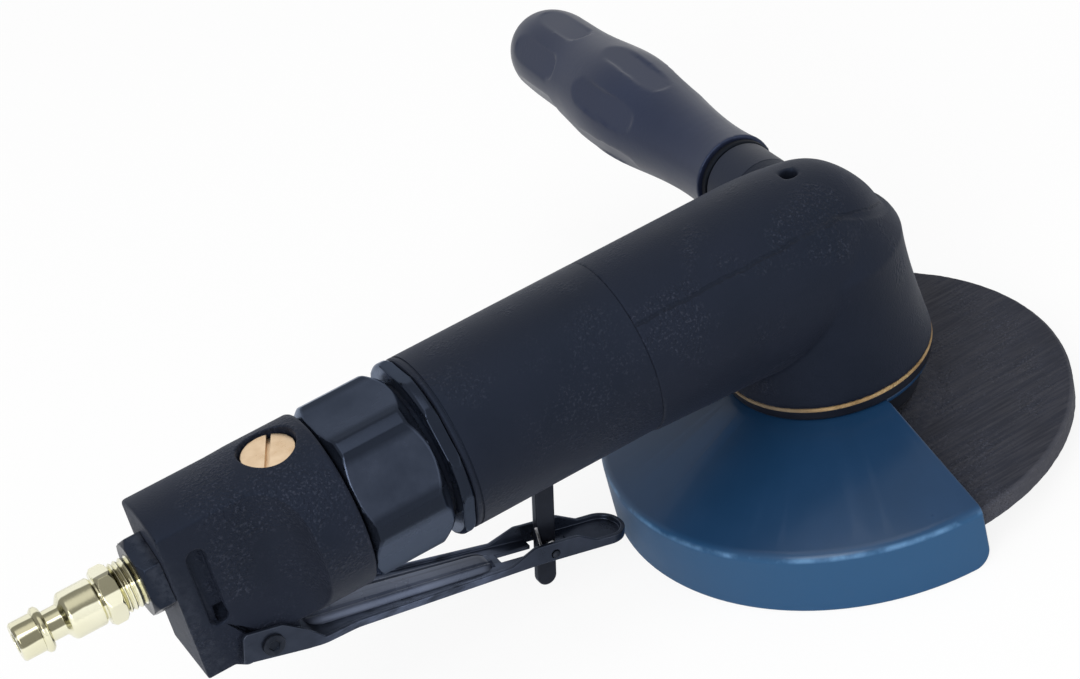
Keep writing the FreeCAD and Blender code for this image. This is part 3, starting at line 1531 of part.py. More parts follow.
def side_handle_grip():
    at = handle_place()
    grip = grip_profile().revolve(at, AXES["y"][0], FULL_TURN)
    cuts = [rod("y", handle_neck_end_y, handle_core_end_y + face_gap, handle_core_radius + fit_gap, at)]
    bulge = (bulge_dimple_y, bulge_dimple_length, bulge_dimple_floor, bulge_dimple_slope)
    lobe = (lobe_dimple_y, lobe_dimple_length, lobe_dimple_floor, lobe_dimple_slope)
    for i in range(dimple_count):
        turn = dimple_turn + i * FULL_TURN / dimple_count
        cuts += [dimple(*bulge, turn), dimple(*lobe, turn)]
    return grip.cut(cuts)


# Every piece under its name

def bearings():
    return {
        "lower_spindle_bearing": bearing("z", lower_bearing_bottom_z, lower_bearing_width,
                                         spindle_bearing_radius + running_gap, lower_bearing_radius),
        "upper_spindle_bearing": ring("z", spindle_top_z - upper_bearing_length, spindle_top_z,
                                      upper_bearing_radius - fit_gap, spindle_top_radius + running_gap),
        "pinion_bearing": bearing("x", pinion_chamber_rear_x - pinion_bearing_width, pinion_bearing_width,
                                  pinion_shaft_radius + running_gap, pinion_bearing_radius),
        "rear_rotor_bearing": bearing("x", rear_bearing_start(), rotor_bearing_width,
                                      rotor_rear_shaft_radius + running_gap, rotor_bearing_radius),
        "front_rotor_bearing": bearing("x", front_bearing_start(), rotor_bearing_width,
                                       rotor_front_shaft_radius + running_gap, rotor_bearing_radius),
    }


PIECES = [
    spindle, gear_key, crown_gear, bevel_pinion, inner_flange, grinding_disc, flange_nut,
    gear_head_housing, head_gasket, bearing_cover, cover_screws, retaining_ring,
    wheel_guard, guard_clamp_band, clamp_screw, clamp_nut,
    motor_cylinder, dowel_pin, rear_end_plate, front_end_plate, rotor, rotor_vanes,
    motor_housing, lock_ring, coupling_nut, snap_ring, throttle_housing,
    inlet_bushing, inlet_screen, air_nipple,
    valve_seat_bush, valve_plunger, valve_spring, stem_seal, regulator_screw, regulator_seal,
    throttle_lever, lever_pivot_pin, latch_pin, latch_spring, safety_latch,
    handle_stud, handle_ring, side_handle_grip,
]


def main():
    os.makedirs("parts", exist_ok=True)
    shapes = {make.__name__: make() for make in PIECES}
    shapes.update(bearings())
    for name, shape in shapes.items():
        shape.translate(V(0, 0, -nose_z))
        if not shape.isValid():
            print("not valid:", name)
        shape.exportStep(os.path.join("parts", name + ".step"))
        print(name, len(shape.Solids), "solids", round(shape.Volume), "mm3")


main()
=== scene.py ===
import bmesh
import bpy
import json
import math
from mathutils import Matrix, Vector, noise as field


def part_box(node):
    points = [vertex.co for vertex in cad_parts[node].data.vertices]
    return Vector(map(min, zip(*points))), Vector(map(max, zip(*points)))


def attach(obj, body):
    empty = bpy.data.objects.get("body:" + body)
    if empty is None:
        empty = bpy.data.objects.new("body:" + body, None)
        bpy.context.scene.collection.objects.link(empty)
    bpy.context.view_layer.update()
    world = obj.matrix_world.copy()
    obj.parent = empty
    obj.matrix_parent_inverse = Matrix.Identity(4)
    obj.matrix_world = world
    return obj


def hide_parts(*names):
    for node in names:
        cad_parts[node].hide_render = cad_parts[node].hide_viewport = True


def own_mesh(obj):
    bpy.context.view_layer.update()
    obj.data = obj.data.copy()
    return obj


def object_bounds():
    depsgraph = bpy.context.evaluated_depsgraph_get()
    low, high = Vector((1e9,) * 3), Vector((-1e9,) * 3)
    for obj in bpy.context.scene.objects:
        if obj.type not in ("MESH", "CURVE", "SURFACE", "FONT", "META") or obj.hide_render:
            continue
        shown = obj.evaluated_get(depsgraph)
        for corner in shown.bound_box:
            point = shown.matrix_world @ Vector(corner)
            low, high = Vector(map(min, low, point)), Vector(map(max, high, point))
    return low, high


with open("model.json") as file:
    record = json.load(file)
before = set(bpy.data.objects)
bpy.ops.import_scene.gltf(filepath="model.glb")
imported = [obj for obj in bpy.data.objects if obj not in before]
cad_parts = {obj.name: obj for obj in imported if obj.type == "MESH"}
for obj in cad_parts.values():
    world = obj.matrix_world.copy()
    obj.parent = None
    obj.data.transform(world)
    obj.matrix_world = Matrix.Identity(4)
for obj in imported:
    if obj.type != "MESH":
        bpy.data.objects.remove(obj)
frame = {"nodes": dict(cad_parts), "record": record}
nodes = frame["nodes"]
cad_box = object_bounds()

MM = 0.001
Z = Vector((0, 0, 1))

# Places read from the frame, in metres
sleeve_low, sleeve_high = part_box("motor_housing")
nut_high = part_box("coupling_nut")[1]
nipple_low, nipple_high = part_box("air_nipple")
plug_axis_z = (nipple_low.z + nipple_high.z) / 2
disc_low, disc_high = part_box("grinding_disc")
guard_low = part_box("wheel_guard")[0]
gasket_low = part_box("head_gasket")[0]
body_axis_z = (sleeve_low.z + sleeve_high.z) / 2


# Shader node helpers

def node(tree, kind, **settings):
    made = tree.nodes.new(kind)
    for key, value in settings.items():
        setattr(made, key, value)
    return made


def math_node(tree, operation, a, b=None):
    made = node(tree, "ShaderNodeMath", operation=operation)
    for i, value in enumerate((a, b)):
        if value is None:
            continue
        if isinstance(value, (int, float)):
            made.inputs[i].default_value = value
        else:
            tree.links.new(value, made.inputs[i])
    return made.outputs[0]


def times(tree, a, b):
    return math_node(tree, "MULTIPLY", a, b)


def plus(tree, a, b):
    return math_node(tree, "ADD", a, b)


def minus(tree, a, b):
    return math_node(tree, "SUBTRACT", a, b)


def noise(tree, vector, scale, detail=2.0, roughness=0.5):
    made = node(tree, "ShaderNodeTexNoise")
    made.inputs["Detail"].default_value = detail
    made.inputs["Roughness"].default_value = roughness
    tree.links.new(vector, made.inputs["Vector"])
    if isinstance(scale, (int, float)):
        made.inputs["Scale"].default_value = scale
    else:
        tree.links.new(scale, made.inputs["Scale"])
    return made.outputs["Fac"]


def spread(tree, value, low, high):
    made = node(tree, "ShaderNodeMapRange", clamp=True)
    made.inputs["From Min"].default_value = low
    made.inputs["From Max"].default_value = high
    tree.links.new(value, made.inputs["Value"])
    return made.outputs["Result"]


# Camera and stage

camera_place = Vector((-0.28454, -0.55878, 0.47553))
camera_turn_degrees = (54.89, 13.27, -29.53)
camera_lens = 96.41
camera_sensor = 36.0
camera_reach = (0.05, 20)


def add_camera():
    data = bpy.data.cameras.new("camera")
    data.lens = camera_lens
    data.sensor_width = camera_sensor
    data.sensor_fit = "HORIZONTAL"
    data.clip_start, data.clip_end = camera_reach
    camera = bpy.data.objects.new("camera", data)
    camera.location = camera_place
    camera.rotation_euler = [math.radians(a) for a in camera_turn_degrees]
    bpy.context.scene.collection.objects.link(camera)
    bpy.context.scene.camera = camera


# Round lamps, all aimed at one place: name, place, width and watts
lamp_aim = Vector((-0.06, 0.0, 0.04))
lamps = [
    ("key_lamp", (-1.1, -1.1, 0.95), 0.9, 15),
    ("fill_lamp", (0.8, -1.2, 0.5), 1.0, 2.8),
    ("top_lamp", (-0.25, -0.35, 1.6), 1.3, 9),
]


def add_lamp(name, place, size, watts):
    data = bpy.data.lights.new(name, "AREA")
    data.shape = "DISK"
    data.size = size
    data.energy = watts
    lamp = bpy.data.objects.new(name, data)
    lamp.location = place
    lamp.rotation_euler = (lamp_aim - Vector(place)).to_track_quat("-Z", "Y").to_euler()
    bpy.context.scene.collection.objects.link(lamp)


seen_level = 1.0
lighting_level = 0.5
floor_tone = 0.95
floor_roughness = 0.9
floor_white_share = 0.88
floor_reach = 6


def background_strength(tree):
    # White to the camera and in reflections, and a plain level for the light it gives
    path = node(tree, "ShaderNodeLightPath").outputs
    seen = math_node(tree, "MAXIMUM", path["Is Camera Ray"], path["Is Glossy Ray"])
    seen = math_node(tree, "MAXIMUM", seen, path["Is Transmission Ray"])
    level = node(tree, "ShaderNodeMapRange")
    level.inputs["To Min"].default_value = lighting_level
    level.inputs["To Max"].default_value = seen_level
    tree.links.new(seen, level.inputs["Value"])
    return level.outputs["Result"]


def set_world():
    world = bpy.data.worlds.new("studio")
    bpy.context.scene.world = world
    world.use_nodes = True
    tree = world.node_tree
    background = tree.nodes["Background"]
    background.inputs["Color"].default_value = (1, 1, 1, 1)
    tree.links.new(background_strength(tree), background.inputs["Strength"])


def floor_finish():
    # Its own shading keeps the shadow, and its glow makes it near white to the camera
    material = bpy.data.materials.new("floor_white")
    material.use_nodes = True
    tree = material.node_tree
    shader = tree.nodes["Principled BSDF"]
    shader.inputs["Base Color"].default_value = (floor_tone, floor_tone, floor_tone, 1)
    shader.inputs["Roughness"].default_value = floor_roughness
    shader.inputs["Specular IOR Level"].default_value = 0.0
    glow = node(tree, "ShaderNodeEmission")
    path = node(tree, "ShaderNodeLightPath")
    mix = node(tree, "ShaderNodeMixShader")
    share = times(tree, path.outputs["Is Camera Ray"], floor_white_share)
    tree.links.new(share, mix.inputs[0])
    tree.links.new(shader.outputs[0], mix.inputs[1])
    tree.links.new(glow.outputs[0], mix.inputs[2])
    tree.links.new(mix.outputs[0], tree.nodes["Material Output"].inputs["Surface"])
    return material


def add_floor():
    bm = bmesh.new()
    bmesh.ops.create_grid(bm, x_segments=1, y_segments=1, size=floor_reach)
    bmesh.ops.translate(bm, verts=bm.verts, vec=(0, 0, cad_box[0].z))
    floor = link_mesh("floor", bm)
    floor.data.materials.append(floor_finish())


# Mesh helpers

def link_mesh(name, bm):
    mesh = bpy.data.meshes.new(name)
    bm.to_mesh(mesh)
    bm.free()
    piece = bpy.data.objects.new(name, mesh)
    bpy.context.scene.collection.objects.link(piece)
    return piece


merge_distance = 0.002
flat_angle_degrees = 0.6
sliver_length = 0.05


def merged_copy(node_name):
    # The piece's own surface, merged, with its flat facets joined
    bm = bmesh.new()
    bm.from_mesh(nodes[node_name].data)
    bmesh.ops.remove_doubles(bm, verts=bm.verts, dist=merge_distance * MM)
    bmesh.ops.dissolve_limit(bm, angle_limit=math.radians(flat_angle_degrees),
                             verts=bm.verts, edges=bm.edges)
    bmesh.ops.dissolve_degenerate(bm, dist=sliver_length * MM, edges=bm.edges)
    return bm


def ease_edges(bm, width, segments, degrees=32.0):
    sharp = [edge for edge in bm.edges
             if len(edge.link_faces) == 2 and edge.calc_face_angle() > math.radians(degrees)]
    bmesh.ops.bevel(bm, geom=sharp, offset=width * MM, offset_type="OFFSET", affect="EDGES",
                    segments=segments, profile=0.5, material=-1, clamp_overlap=False)


def keep_within(bm, node_name):
    # No round stands outside the piece it was made from
    low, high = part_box(node_name)
    for vert in bm.verts:
        for i in range(3):
            vert.co[i] = min(max(vert.co[i], low[i]), high[i])


def shade_smooth(piece, degrees=30.0):
    for face in piece.data.polygons:
        face.use_smooth = True
    piece.data.set_sharp_from_angle(angle=math.radians(degrees))
    weights = piece.modifiers.new("even_shading", "WEIGHTED_NORMAL")
    weights.keep_sharp = True


def place_piece(piece, body, slot, finish, *replaced):
    piece.data.materials.append(finish)
    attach(piece, body)
    if replaced:
        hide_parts(*replaced)


# Pieces whose edges are broken: piece, body, slot, width of the round in mm, its segments
eased_pieces = [
    ("throttle_housing", "housing", "head_black", 0.55, 3),
    ("inlet_bushing", "housing", "cover_black", 0.25, 2),
    ("air_nipple", "housing", "plug_plating", 0.16, 2),
    ("coupling_nut", "housing", "nut_black", 0.55, 3),
    ("lock_ring", "housing", "nut_black", 0.4, 3),
    ("motor_housing", "housing", "sleeve_black", 0.14, 2),
    ("head_gasket", "housing", "gasket_paper", 0.2, 2),
    ("bearing_cover", "housing", "cover_black", 0.5, 3),
    ("cover_screws", "housing", "fastener_black", 0.15, 2),
    ("handle_stud", "housing", "neck_black", 0.08, 2),
    ("handle_ring", "housing", "seal_rubber", 0.6, 3),
    ("lever_pivot_pin", "housing", "fastener_black", 0.2, 2),
    ("wheel_guard", "guard", "guard_paint", 0.7, 4),
    ("guard_clamp_band", "guard", "fastener_black", 0.4, 3),
    ("clamp_screw", "guard", "fastener_black", 0.3, 3),
    ("clamp_nut", "guard", "fastener_black", 0.3, 2),
    ("inner_flange", "output_spindle", "bare_steel", 0.2, 2),
    ("flange_nut", "output_spindle", "bare_steel", 0.3, 3),
    ("throttle_lever", "lever", "lever_paint", 0.3, 3),
    ("latch_pin", "lever", "fastener_black", 0.2, 2),
    ("safety_latch", "latch", "lever_paint", 0.5, 3),
    ("regulator_screw", "regulator", "regulator_brass", 0.12, 2),
]


# Pieces whose finish differs from the rest of their slot
own_finishes = {
    "lever_pivot_pin": "pin_black",
    "latch_pin": "pin_black",
    "safety_latch": "latch_black",
    "inlet_bushing": "bushing_black",
}


def add_eased_pieces(finishes):
    for name, body, slot, width, segments in eased_pieces:
        bm = merged_copy(name)
        ease_edges(bm, width, segments)
        keep_within(bm, name)
        piece = link_mesh(name + "_eased", bm)
        shade_smooth(piece)
        place_piece(piece, body, slot, finishes[own_finishes.get(name, slot)], name)


# Cast and moulded pieces with rounded blends: piece, slot, skin mesh size in mm, smoothing passes
soft_pieces = [
    ("gear_head_housing", "head_black", 0.62, 3),
    ("side_handle_grip", "grip_plastic", 0.5, 4),
]


def add_soft_pieces(finishes):
    for name, slot, skin, passes in soft_pieces:
        piece = link_mesh(name + "_blended", merged_copy(name))
        casting = piece.modifiers.new("cast_skin", "REMESH")
        casting.mode = "VOXEL"
        casting.voxel_size = skin * MM
        casting.use_smooth_shade = True
        easing = piece.modifiers.new("cast_blends", "SMOOTH")
        easing.factor = 0.5
        easing.iterations = passes
        place_piece(piece, "housing", slot, finishes[slot], name)


def add_valve_spring(finishes):
    piece = link_mesh("valve_spring_coils", merged_copy("valve_spring"))
    shade_smooth(piece, degrees=40)
    place_piece(piece, "housing", "bare_steel", finishes["bare_steel"], "valve_spring")
    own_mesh(piece)


# Neck of the handle, one plain surface from the casting to the ring
neck_radius = 10.66
neck_wall = 0.3
neck_start = 24.0
neck_end = 35.9
neck_steps = 96


def add_handle_neck(finishes):
    stud_low, stud_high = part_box("handle_stud")
    centre = (stud_low + stud_high) / 2
    bm = bmesh.new()
    section = [(neck_radius - neck_wall, neck_start), (neck_radius, neck_start),
               (neck_radius, neck_end - neck_wall), (neck_radius - neck_wall, neck_end)]
    corners = [bm.verts.new((centre.x + radius * MM, side * MM, centre.z))
               for radius, side in section]
    for pair in zip(corners, corners[1:] + corners[:1]):
        bm.edges.new(pair)
    bmesh.ops.spin(bm, geom=bm.verts[:] + bm.edges[:], cent=(centre.x, 0, centre.z),
                   axis=(0, 1, 0), angle=2 * math.pi, steps=neck_steps, use_merge=True)
    bmesh.ops.recalc_face_normals(bm, faces=bm.faces)
    piece = link_mesh("handle_neck", bm)
    shade_smooth(piece)
    place_piece(piece, "housing", "neck_black", finishes["neck_black"])


# Broad rib pressed into the lever's web, in the lever's own straight frame from its pivot
lever_pivot = Vector((-170.0, 0, 38.8)) * MM
lever_slope_degrees = 15.2
pressing_start = 12.5
pressing_end = 66.0
pressing_wide = 6.6
pressing_slim = 4.6
pressing_foot = -3.3
pressing_height = 1.75
pressing_groove = 0.35
pressing_cells = (72, 48)
pressing_end_length = 4.5
pressing_end_share = 0.35
pressing_side_share = 0.34
pressing_crown = 0.18
pressing_groove_place = 0.52
pressing_groove_width = 0.06
pressing_sheet = 0.25


def pressing_place(along, across):
    # Along runs from 0 to 1 down the lever, across from -1 to 1
    reach = pressing_end - pressing_start
    end_fade = min(1.0, min(along, 1 - along) * reach / pressing_end_length)
    end_fade = math.sqrt(max(0.0, 1 - (1 - end_fade) ** 2))
    half = pressing_wide + (pressing_slim - pressing_wide) * along
    half *= pressing_end_share + (1 - pressing_end_share) * end_fade
    side_fade = min(1.0, (1 - abs(across)) / pressing_side_share)
    rise = end_fade * side_fade * side_fade * (3 - 2 * side_fade)
    crown = 1 - pressing_crown * across * across
    off_groove = (abs(across) - pressing_groove_place) / pressing_groove_width
    shaded_groove = math.exp(-off_groove ** 2) * pressing_groove * end_fade
    u = pressing_start + reach * along
    w = pressing_foot + pressing_height * rise * crown - shaded_groove
    slope = math.radians(lever_slope_degrees)
    return lever_pivot + Vector((u * math.cos(slope) + w * math.sin(slope), half * across,
                                 w * math.cos(slope) - u * math.sin(slope))) * MM


def add_lever_pressing(finishes):
    bm = bmesh.new()
    bmesh.ops.create_grid(bm, x_segments=pressing_cells[0], y_segments=pressing_cells[1], size=1.0)
    for vert in bm.verts:
        vert.co = pressing_place((vert.co.x + 1) / 2, vert.co.y)
    bmesh.ops.recalc_face_normals(bm, faces=bm.faces)
    if bm.faces[0].normal.z < 0:
        bmesh.ops.reverse_faces(bm, faces=bm.faces)
    piece = link_mesh("lever_pressing_painted_light", bm)
    shade_smooth(piece, degrees=60)
    sheet = piece.modifiers.new("pressed_sheet", "SOLIDIFY")
    sheet.thickness = pressing_sheet * MM
    sheet.offset = -1.0
    place_piece(piece, "lever", "lever_paint", finishes["lever_pressing_painted_light"])


# Grinding disc with a rough bonded face and a torn rim
disc_thickness = 6.0
disc_edge = 0.8
disc_ramp_radius = 28.0
disc_hub_radius = 21.5
disc_bore_radius = 11.115
disc_steps = 300
disc_face_cuts = 18
disc_face_lines_over = 5
disc_rim_cuts = 4
disc_rim_lines_from = 60
disc_rim_width = 1.5
disc_merge_distance = 0.005
rim_roughness = 0.16
face_roughness = 0.05
coarse_grit = 900
fine_grit = 2100


def disc_profile():
    # Radius and height in mm round the section, from the bore's lower edge
    low, top = disc_low.z / MM, disc_high.z / MM
    high = low + disc_thickness
    hub_low = top - disc_thickness
    rim = (disc_high.x - disc_low.x) / 2 / MM
    return [(disc_bore_radius, hub_low), (disc_hub_radius, hub_low), (disc_ramp_radius, low),
            (rim - disc_edge, low), (rim, low + disc_edge), (rim, high - disc_edge),
            (rim - disc_edge, high), (disc_ramp_radius, high), (disc_hub_radius, top),
            (disc_bore_radius, top)]


def add_grinding_disc(finishes):
    bm = bmesh.new()
    corners = [bm.verts.new(Vector((radius, 0, height)) * MM) for radius, height in disc_profile()]
    lines = [bm.edges.new(pair) for pair in zip(corners, corners[1:] + corners[:1])]
    long_lines = [line for line in lines if line.calc_length() > disc_face_lines_over * MM]
    bmesh.ops.subdivide_edges(bm, edges=long_lines, cuts=disc_face_cuts)
    short_lines = [line for line in bm.edges if line.verts[0].co.x > disc_rim_lines_from * MM]
    bmesh.ops.subdivide_edges(bm, edges=short_lines, cuts=disc_rim_cuts)
    bmesh.ops.spin(bm, geom=bm.verts[:] + bm.edges[:], cent=(0, 0, 0), axis=Z,
                   angle=2 * math.pi, steps=disc_steps, use_merge=True)
    bmesh.ops.remove_doubles(bm, verts=bm.verts, dist=disc_merge_distance * MM)
    bmesh.ops.recalc_face_normals(bm, faces=bm.faces)
    bm.normal_update()
    rim = disc_high.x - disc_rim_width * MM
    for vert in bm.verts:
        out = math.hypot(vert.co.x, vert.co.y)
        depth = rim_roughness if out > rim else face_roughness
        rough = field.noise(vert.co * coarse_grit) * 0.5 + 0.5
        rough += field.noise(vert.co * fine_grit) * 0.25
        vert.co -= vert.normal * max(0.0, rough) * depth * MM
    piece = link_mesh("abrasive_disc", bm)
    shade_smooth(piece, degrees=40)
    place_piece(piece, "output_spindle", "disc_abrasive", finishes["disc_abrasive"],
                "grinding_disc")


# Finishes

def group_with(name, inputs, outputs):
    group = bpy.data.node_groups.new(name, "ShaderNodeTree")
    for label, kind, value in inputs:
        socket = group.interface.new_socket(label, in_out="INPUT", socket_type=kind)
        if value is not None:
            socket.default_value = value
    for label, kind in outputs:
        group.interface.new_socket(label, in_out="OUTPUT", socket_type=kind)
    return group, group.nodes.new("NodeGroupInput"), group.nodes.new("NodeGroupOutput")


patch_scale = 62.0
pebble_scale = 1050.0
glint_scale = 1500.0
wear_and_highlight_break_scale = 420.0


def coat_grain_group():
    # Fine pebbled coat: bump height, bright specks in patches as painted glints on the pebbles,
    # and slow cloudy changes of tone
    group, start, end = group_with(
        "coat_grain",
        [("Vector", "NodeSocketVector", None), ("Grain Scale", "NodeSocketFloat", 1800.0),
         ("Cloud Scale", "NodeSocketFloat", 35.0), ("Thickness", "NodeSocketFloat", 0.0)],
        [("Height", "NodeSocketFloat"), ("Glint Specks", "NodeSocketFloat"),
         ("Clouds", "NodeSocketFloat")])
    place = start.outputs["Vector"]
    fine = noise(group, place, start.outputs["Grain Scale"], 3.0, 0.6)
    clouds = noise(group, place, start.outputs["Cloud Scale"], 4.0, 0.6)
    thick = plus(group, noise(group, place, patch_scale, 3.0, 0.6), start.outputs["Thickness"])
    patches = spread(group, thick, 0.5, 0.64)
    knobs = spread(group, noise(group, place, pebble_scale, 2.0, 0.55), 0.42, 0.72)
    pebbles = times(group, knobs, patches)
    height = plus(group, times(group, fine, 0.45), pebbles)
    glints = spread(group, noise(group, place, glint_scale, 2.0, 0.5), 0.57, 0.66)
    group.links.new(height, end.inputs["Height"])
    group.links.new(times(group, glints, patches), end.inputs["Glint Specks"])
    group.links.new(spread(group, clouds, 0.3, 0.7), end.inputs["Clouds"])
    return group


def worn_edges_group():
    # Convex edges, rubbed and given a painted highlight: a broken mask along the edges
    group, start, end = group_with(
        "worn_edges",
        [("Vector", "NodeSocketVector", None), ("Edge", "NodeSocketFloat", 0.5),
         ("Start", "NodeSocketFloat", 0.53), ("Full", "NodeSocketFloat", 0.62)],
        [("Wear And Highlight", "NodeSocketFloat")])
    mask = node(group, "ShaderNodeMapRange", clamp=True)
    group.links.new(start.outputs["Edge"], mask.inputs["Value"])
    group.links.new(start.outputs["Start"], mask.inputs["From Min"])
    group.links.new(start.outputs["Full"], mask.inputs["From Max"])
    breaks = noise(group, start.outputs["Vector"], wear_and_highlight_break_scale, 4.0, 0.7)
    broken = spread(group, breaks, 0.36, 0.62)
    group.links.new(times(group, mask.outputs["Result"], broken), end.inputs["Wear And Highlight"])
    return group


def around_axis_group():
    # Distance from an axis that runs along the body, and along the spindle
    group, start, end = group_with(
        "around_axis",
        [("Vector", "NodeSocketVector", None), ("Axis Height", "NodeSocketFloat", body_axis_z)],
        [("From Body Axis", "NodeSocketFloat"), ("From Spindle", "NodeSocketFloat"),
         ("Along", "NodeSocketFloat"), ("Side", "NodeSocketFloat"), ("Height", "NodeSocketFloat")])
    parts = node(group, "ShaderNodeSeparateXYZ")
    group.links.new(start.outputs["Vector"], parts.inputs[0])
    x, y, z = parts.outputs
    above = minus(group, z, start.outputs["Axis Height"])
    for label, a, b in (("From Body Axis", y, above), ("From Spindle", x, y)):
        squares = plus(group, times(group, a, a), times(group, b, b))
        group.links.new(math_node(group, "SQRT", squares), end.inputs[label])
    group.links.new(x, end.inputs["Along"])
    group.links.new(y, end.inputs["Side"])
    group.links.new(z, end.inputs["Height"])
    return group


COAT_GRAIN = coat_grain_group()
WORN_AND_HIGHLIT_EDGES = worn_edges_group()
AROUND_AXIS = around_axis_group()


def mixed(tree, share, first, second):
    made = node(tree, "ShaderNodeMix", data_type="RGBA")
    if isinstance(share, (int, float)):
        made.inputs["Factor"].default_value = share
    else:
        tree.links.new(share, made.inputs["Factor"])
    for socket, value in ((made.inputs[6], first), (made.inputs[7], second)):
        if isinstance(value, tuple):
            socket.default_value = (*value, 1)
        else:
            tree.links.new(value, socket)
    return made.outputs[2]


def around(tree, place, axis_height=body_axis_z):
    made = node(tree, "ShaderNodeGroup", node_tree=AROUND_AXIS)
    made.inputs["Axis Height"].default_value = axis_height
    tree.links.new(place, made.inputs["Vector"])
    return made.outputs


def stretched(tree, place, scale):
    made = node(tree, "ShaderNodeMapping")
    made.inputs["Scale"].default_value = scale
    tree.links.new(place, made.inputs["Vector"])
    return made.outputs[0]


def start_finish(name, roughness, metallic, specular, sheen_tone, coat, coat_roughness):
    material = bpy.data.materials.new(name)
    material.use_nodes = True
    tree = material.node_tree
    shader = tree.nodes["Principled BSDF"]
    shader.inputs["Roughness"].default_value = roughness
    shader.inputs["Metallic"].default_value = metallic
    shader.inputs["Specular IOR Level"].default_value = specular
    shader.inputs["Specular Tint"].default_value = (*sheen_tone, 1)
    shader.inputs["Coat Weight"].default_value = coat
    shader.inputs["Coat Roughness"].default_value = coat_roughness
    place = node(tree, "ShaderNodeTexCoord").outputs["Object"]
    return material, tree, shader, place


def bump(tree, shader, height, strength, distance):
    made = node(tree, "ShaderNodeBump")
    made.inputs["Strength"].default_value = strength
    made.inputs["Distance"].default_value = distance
    tree.links.new(height, made.inputs["Height"])
    tree.links.new(made.outputs["Normal"], shader.inputs["Normal"])


glint_gain = 3
glint_lift = 0.02
painted_crease_shade = (0.0025, 0.003, 0.005)
crease_shade_share = 0.6
crease_depth = 1.4
dust_tone = (0.55, 0.66, 1.0)


def coated(name, dark, light, roughness, grain, strength, depth, glint_specks=0.0, specular=0.5,
           metallic=0.0, cloud_scale=35.0, roughness_change=0.08, coat=0.0, coat_roughness=0.1,
           edge_wear_and_highlight=0.0, worn=(0.12, 0.13, 0.16), wear_and_highlight_from=0.53, wear_and_highlight_full=0.62,
           sheen_tone=(1.0, 1.0, 1.0), dust=0.0, tint=None, thickness=None, shaded_groove=None):
    # A coat over metal or a moulded surface: two tones in clouds, specks painted as glints, edges
    # worn and given painted highlights, and a grain
    material, tree, shader, place = start_finish(name, roughness, metallic, specular, sheen_tone,
                                                 coat, coat_roughness)
    grains = node(tree, "ShaderNodeGroup", node_tree=COAT_GRAIN)
    grains.inputs["Grain Scale"].default_value = grain
    grains.inputs["Cloud Scale"].default_value = cloud_scale
    tree.links.new(place, grains.inputs["Vector"])
    if thickness:
        tree.links.new(thickness(tree, place), grains.inputs["Thickness"])
    colour = mixed(tree, grains.outputs["Clouds"], dark, light)
    # Bright specks: painted glints on the pebbled coat
    if glint_specks:
        bright = tuple(min(1.0, c * glint_gain + glint_lift) for c in light)
        colour = mixed(tree, times(tree, grains.outputs["Glint Specks"], glint_specks), colour, bright)
    if tint:
        colour = tint(tree, place, colour)
    height = grains.outputs["Height"]
    # Painted shade along the crease line, which is also pressed in as a groove bump
    if shaded_groove:
        line = shaded_groove(tree, place)
        colour = mixed(tree, times(tree, line, crease_shade_share), colour, painted_crease_shade)
        height = minus(tree, height, times(tree, line, crease_depth))
    if dust:
        shader.inputs["Sheen Weight"].default_value = dust
        shader.inputs["Sheen Tint"].default_value = (*dust_tone, 1)
    # Lighter convex edges: partly wear, partly a painted highlight
    if edge_wear_and_highlight:
        edges = node(tree, "ShaderNodeGroup", node_tree=WORN_AND_HIGHLIT_EDGES)
        edges.inputs["Start"].default_value = wear_and_highlight_from
        edges.inputs["Full"].default_value = wear_and_highlight_full
        tree.links.new(place, edges.inputs["Vector"])
        shape = node(tree, "ShaderNodeNewGeometry")
        tree.links.new(shape.outputs["Pointiness"], edges.inputs["Edge"])
        colour = mixed(tree, times(tree, edges.outputs["Wear And Highlight"], edge_wear_and_highlight), colour, worn)
    tree.links.new(colour, shader.inputs["Base Color"])
    change = node(tree, "ShaderNodeMapRange")
    change.inputs["To Min"].default_value = roughness - roughness_change
    change.inputs["To Max"].default_value = roughness + roughness_change
    tree.links.new(grains.outputs["Clouds"], change.inputs["Value"])
    tree.links.new(change.outputs["Result"], shader.inputs["Roughness"])
    bump(tree, shader, height, strength, depth)
    return material


def between(tree, value, low, high, soft):
    # 1 from low to high, falling to 0 over the soft distance outside them
    rise = spread(tree, value, low - soft, low)
    fall = spread(tree, value, high + soft, high)
    return times(tree, rise, fall)


def within(tree, value, span):
    # The same for a span of low, high and soft distance in mm
    return between(tree, value, *(edge * MM for edge in span))


def past(tree, value, start, full):
    # 0 up to the start and 1 from full on, both in mm
    return spread(tree, value, start * MM, full * MM)


# Places on the tool in mm: the casting's crease, patches of thicker coat, the handle's boss
crease_height = 76.0
crease_turns_at = -4.0
crease_fall = 0.0158
crease_wander = 1.1
crease_half_width = 0.42
crease_core = 0.12
casting_starts = (-59.2, -58.5)
crease_patch = (-6, 2, 4)
crease_patch_along = (-58, -2, 10)
housing_patch = (58, 82, 8)
housing_patch_along = (-172, -144, 8)
sleeve_patch_along = (-72, -58, 14)
patch_gain = 0.16
patch_drop = 0.03
sleeve_patch_gain = 0.09
smooth_boss = (17, 22)
smooth_boss_drop = 0.3
neck_tone_from = (24.5, 25.5)
neck_tone = (0.0088, 0.0107, 0.019)


def above_crease(tree, at):
    # Height over the casting's crease, which runs level along the barrel and falls round the dome
    ahead = math_node(tree, "MAXIMUM", minus(tree, at["Along"], crease_turns_at * MM), 0.0)
    fall = times(tree, times(tree, ahead, ahead), crease_fall / MM)
    return plus(tree, minus(tree, at["Height"], crease_height * MM), fall)


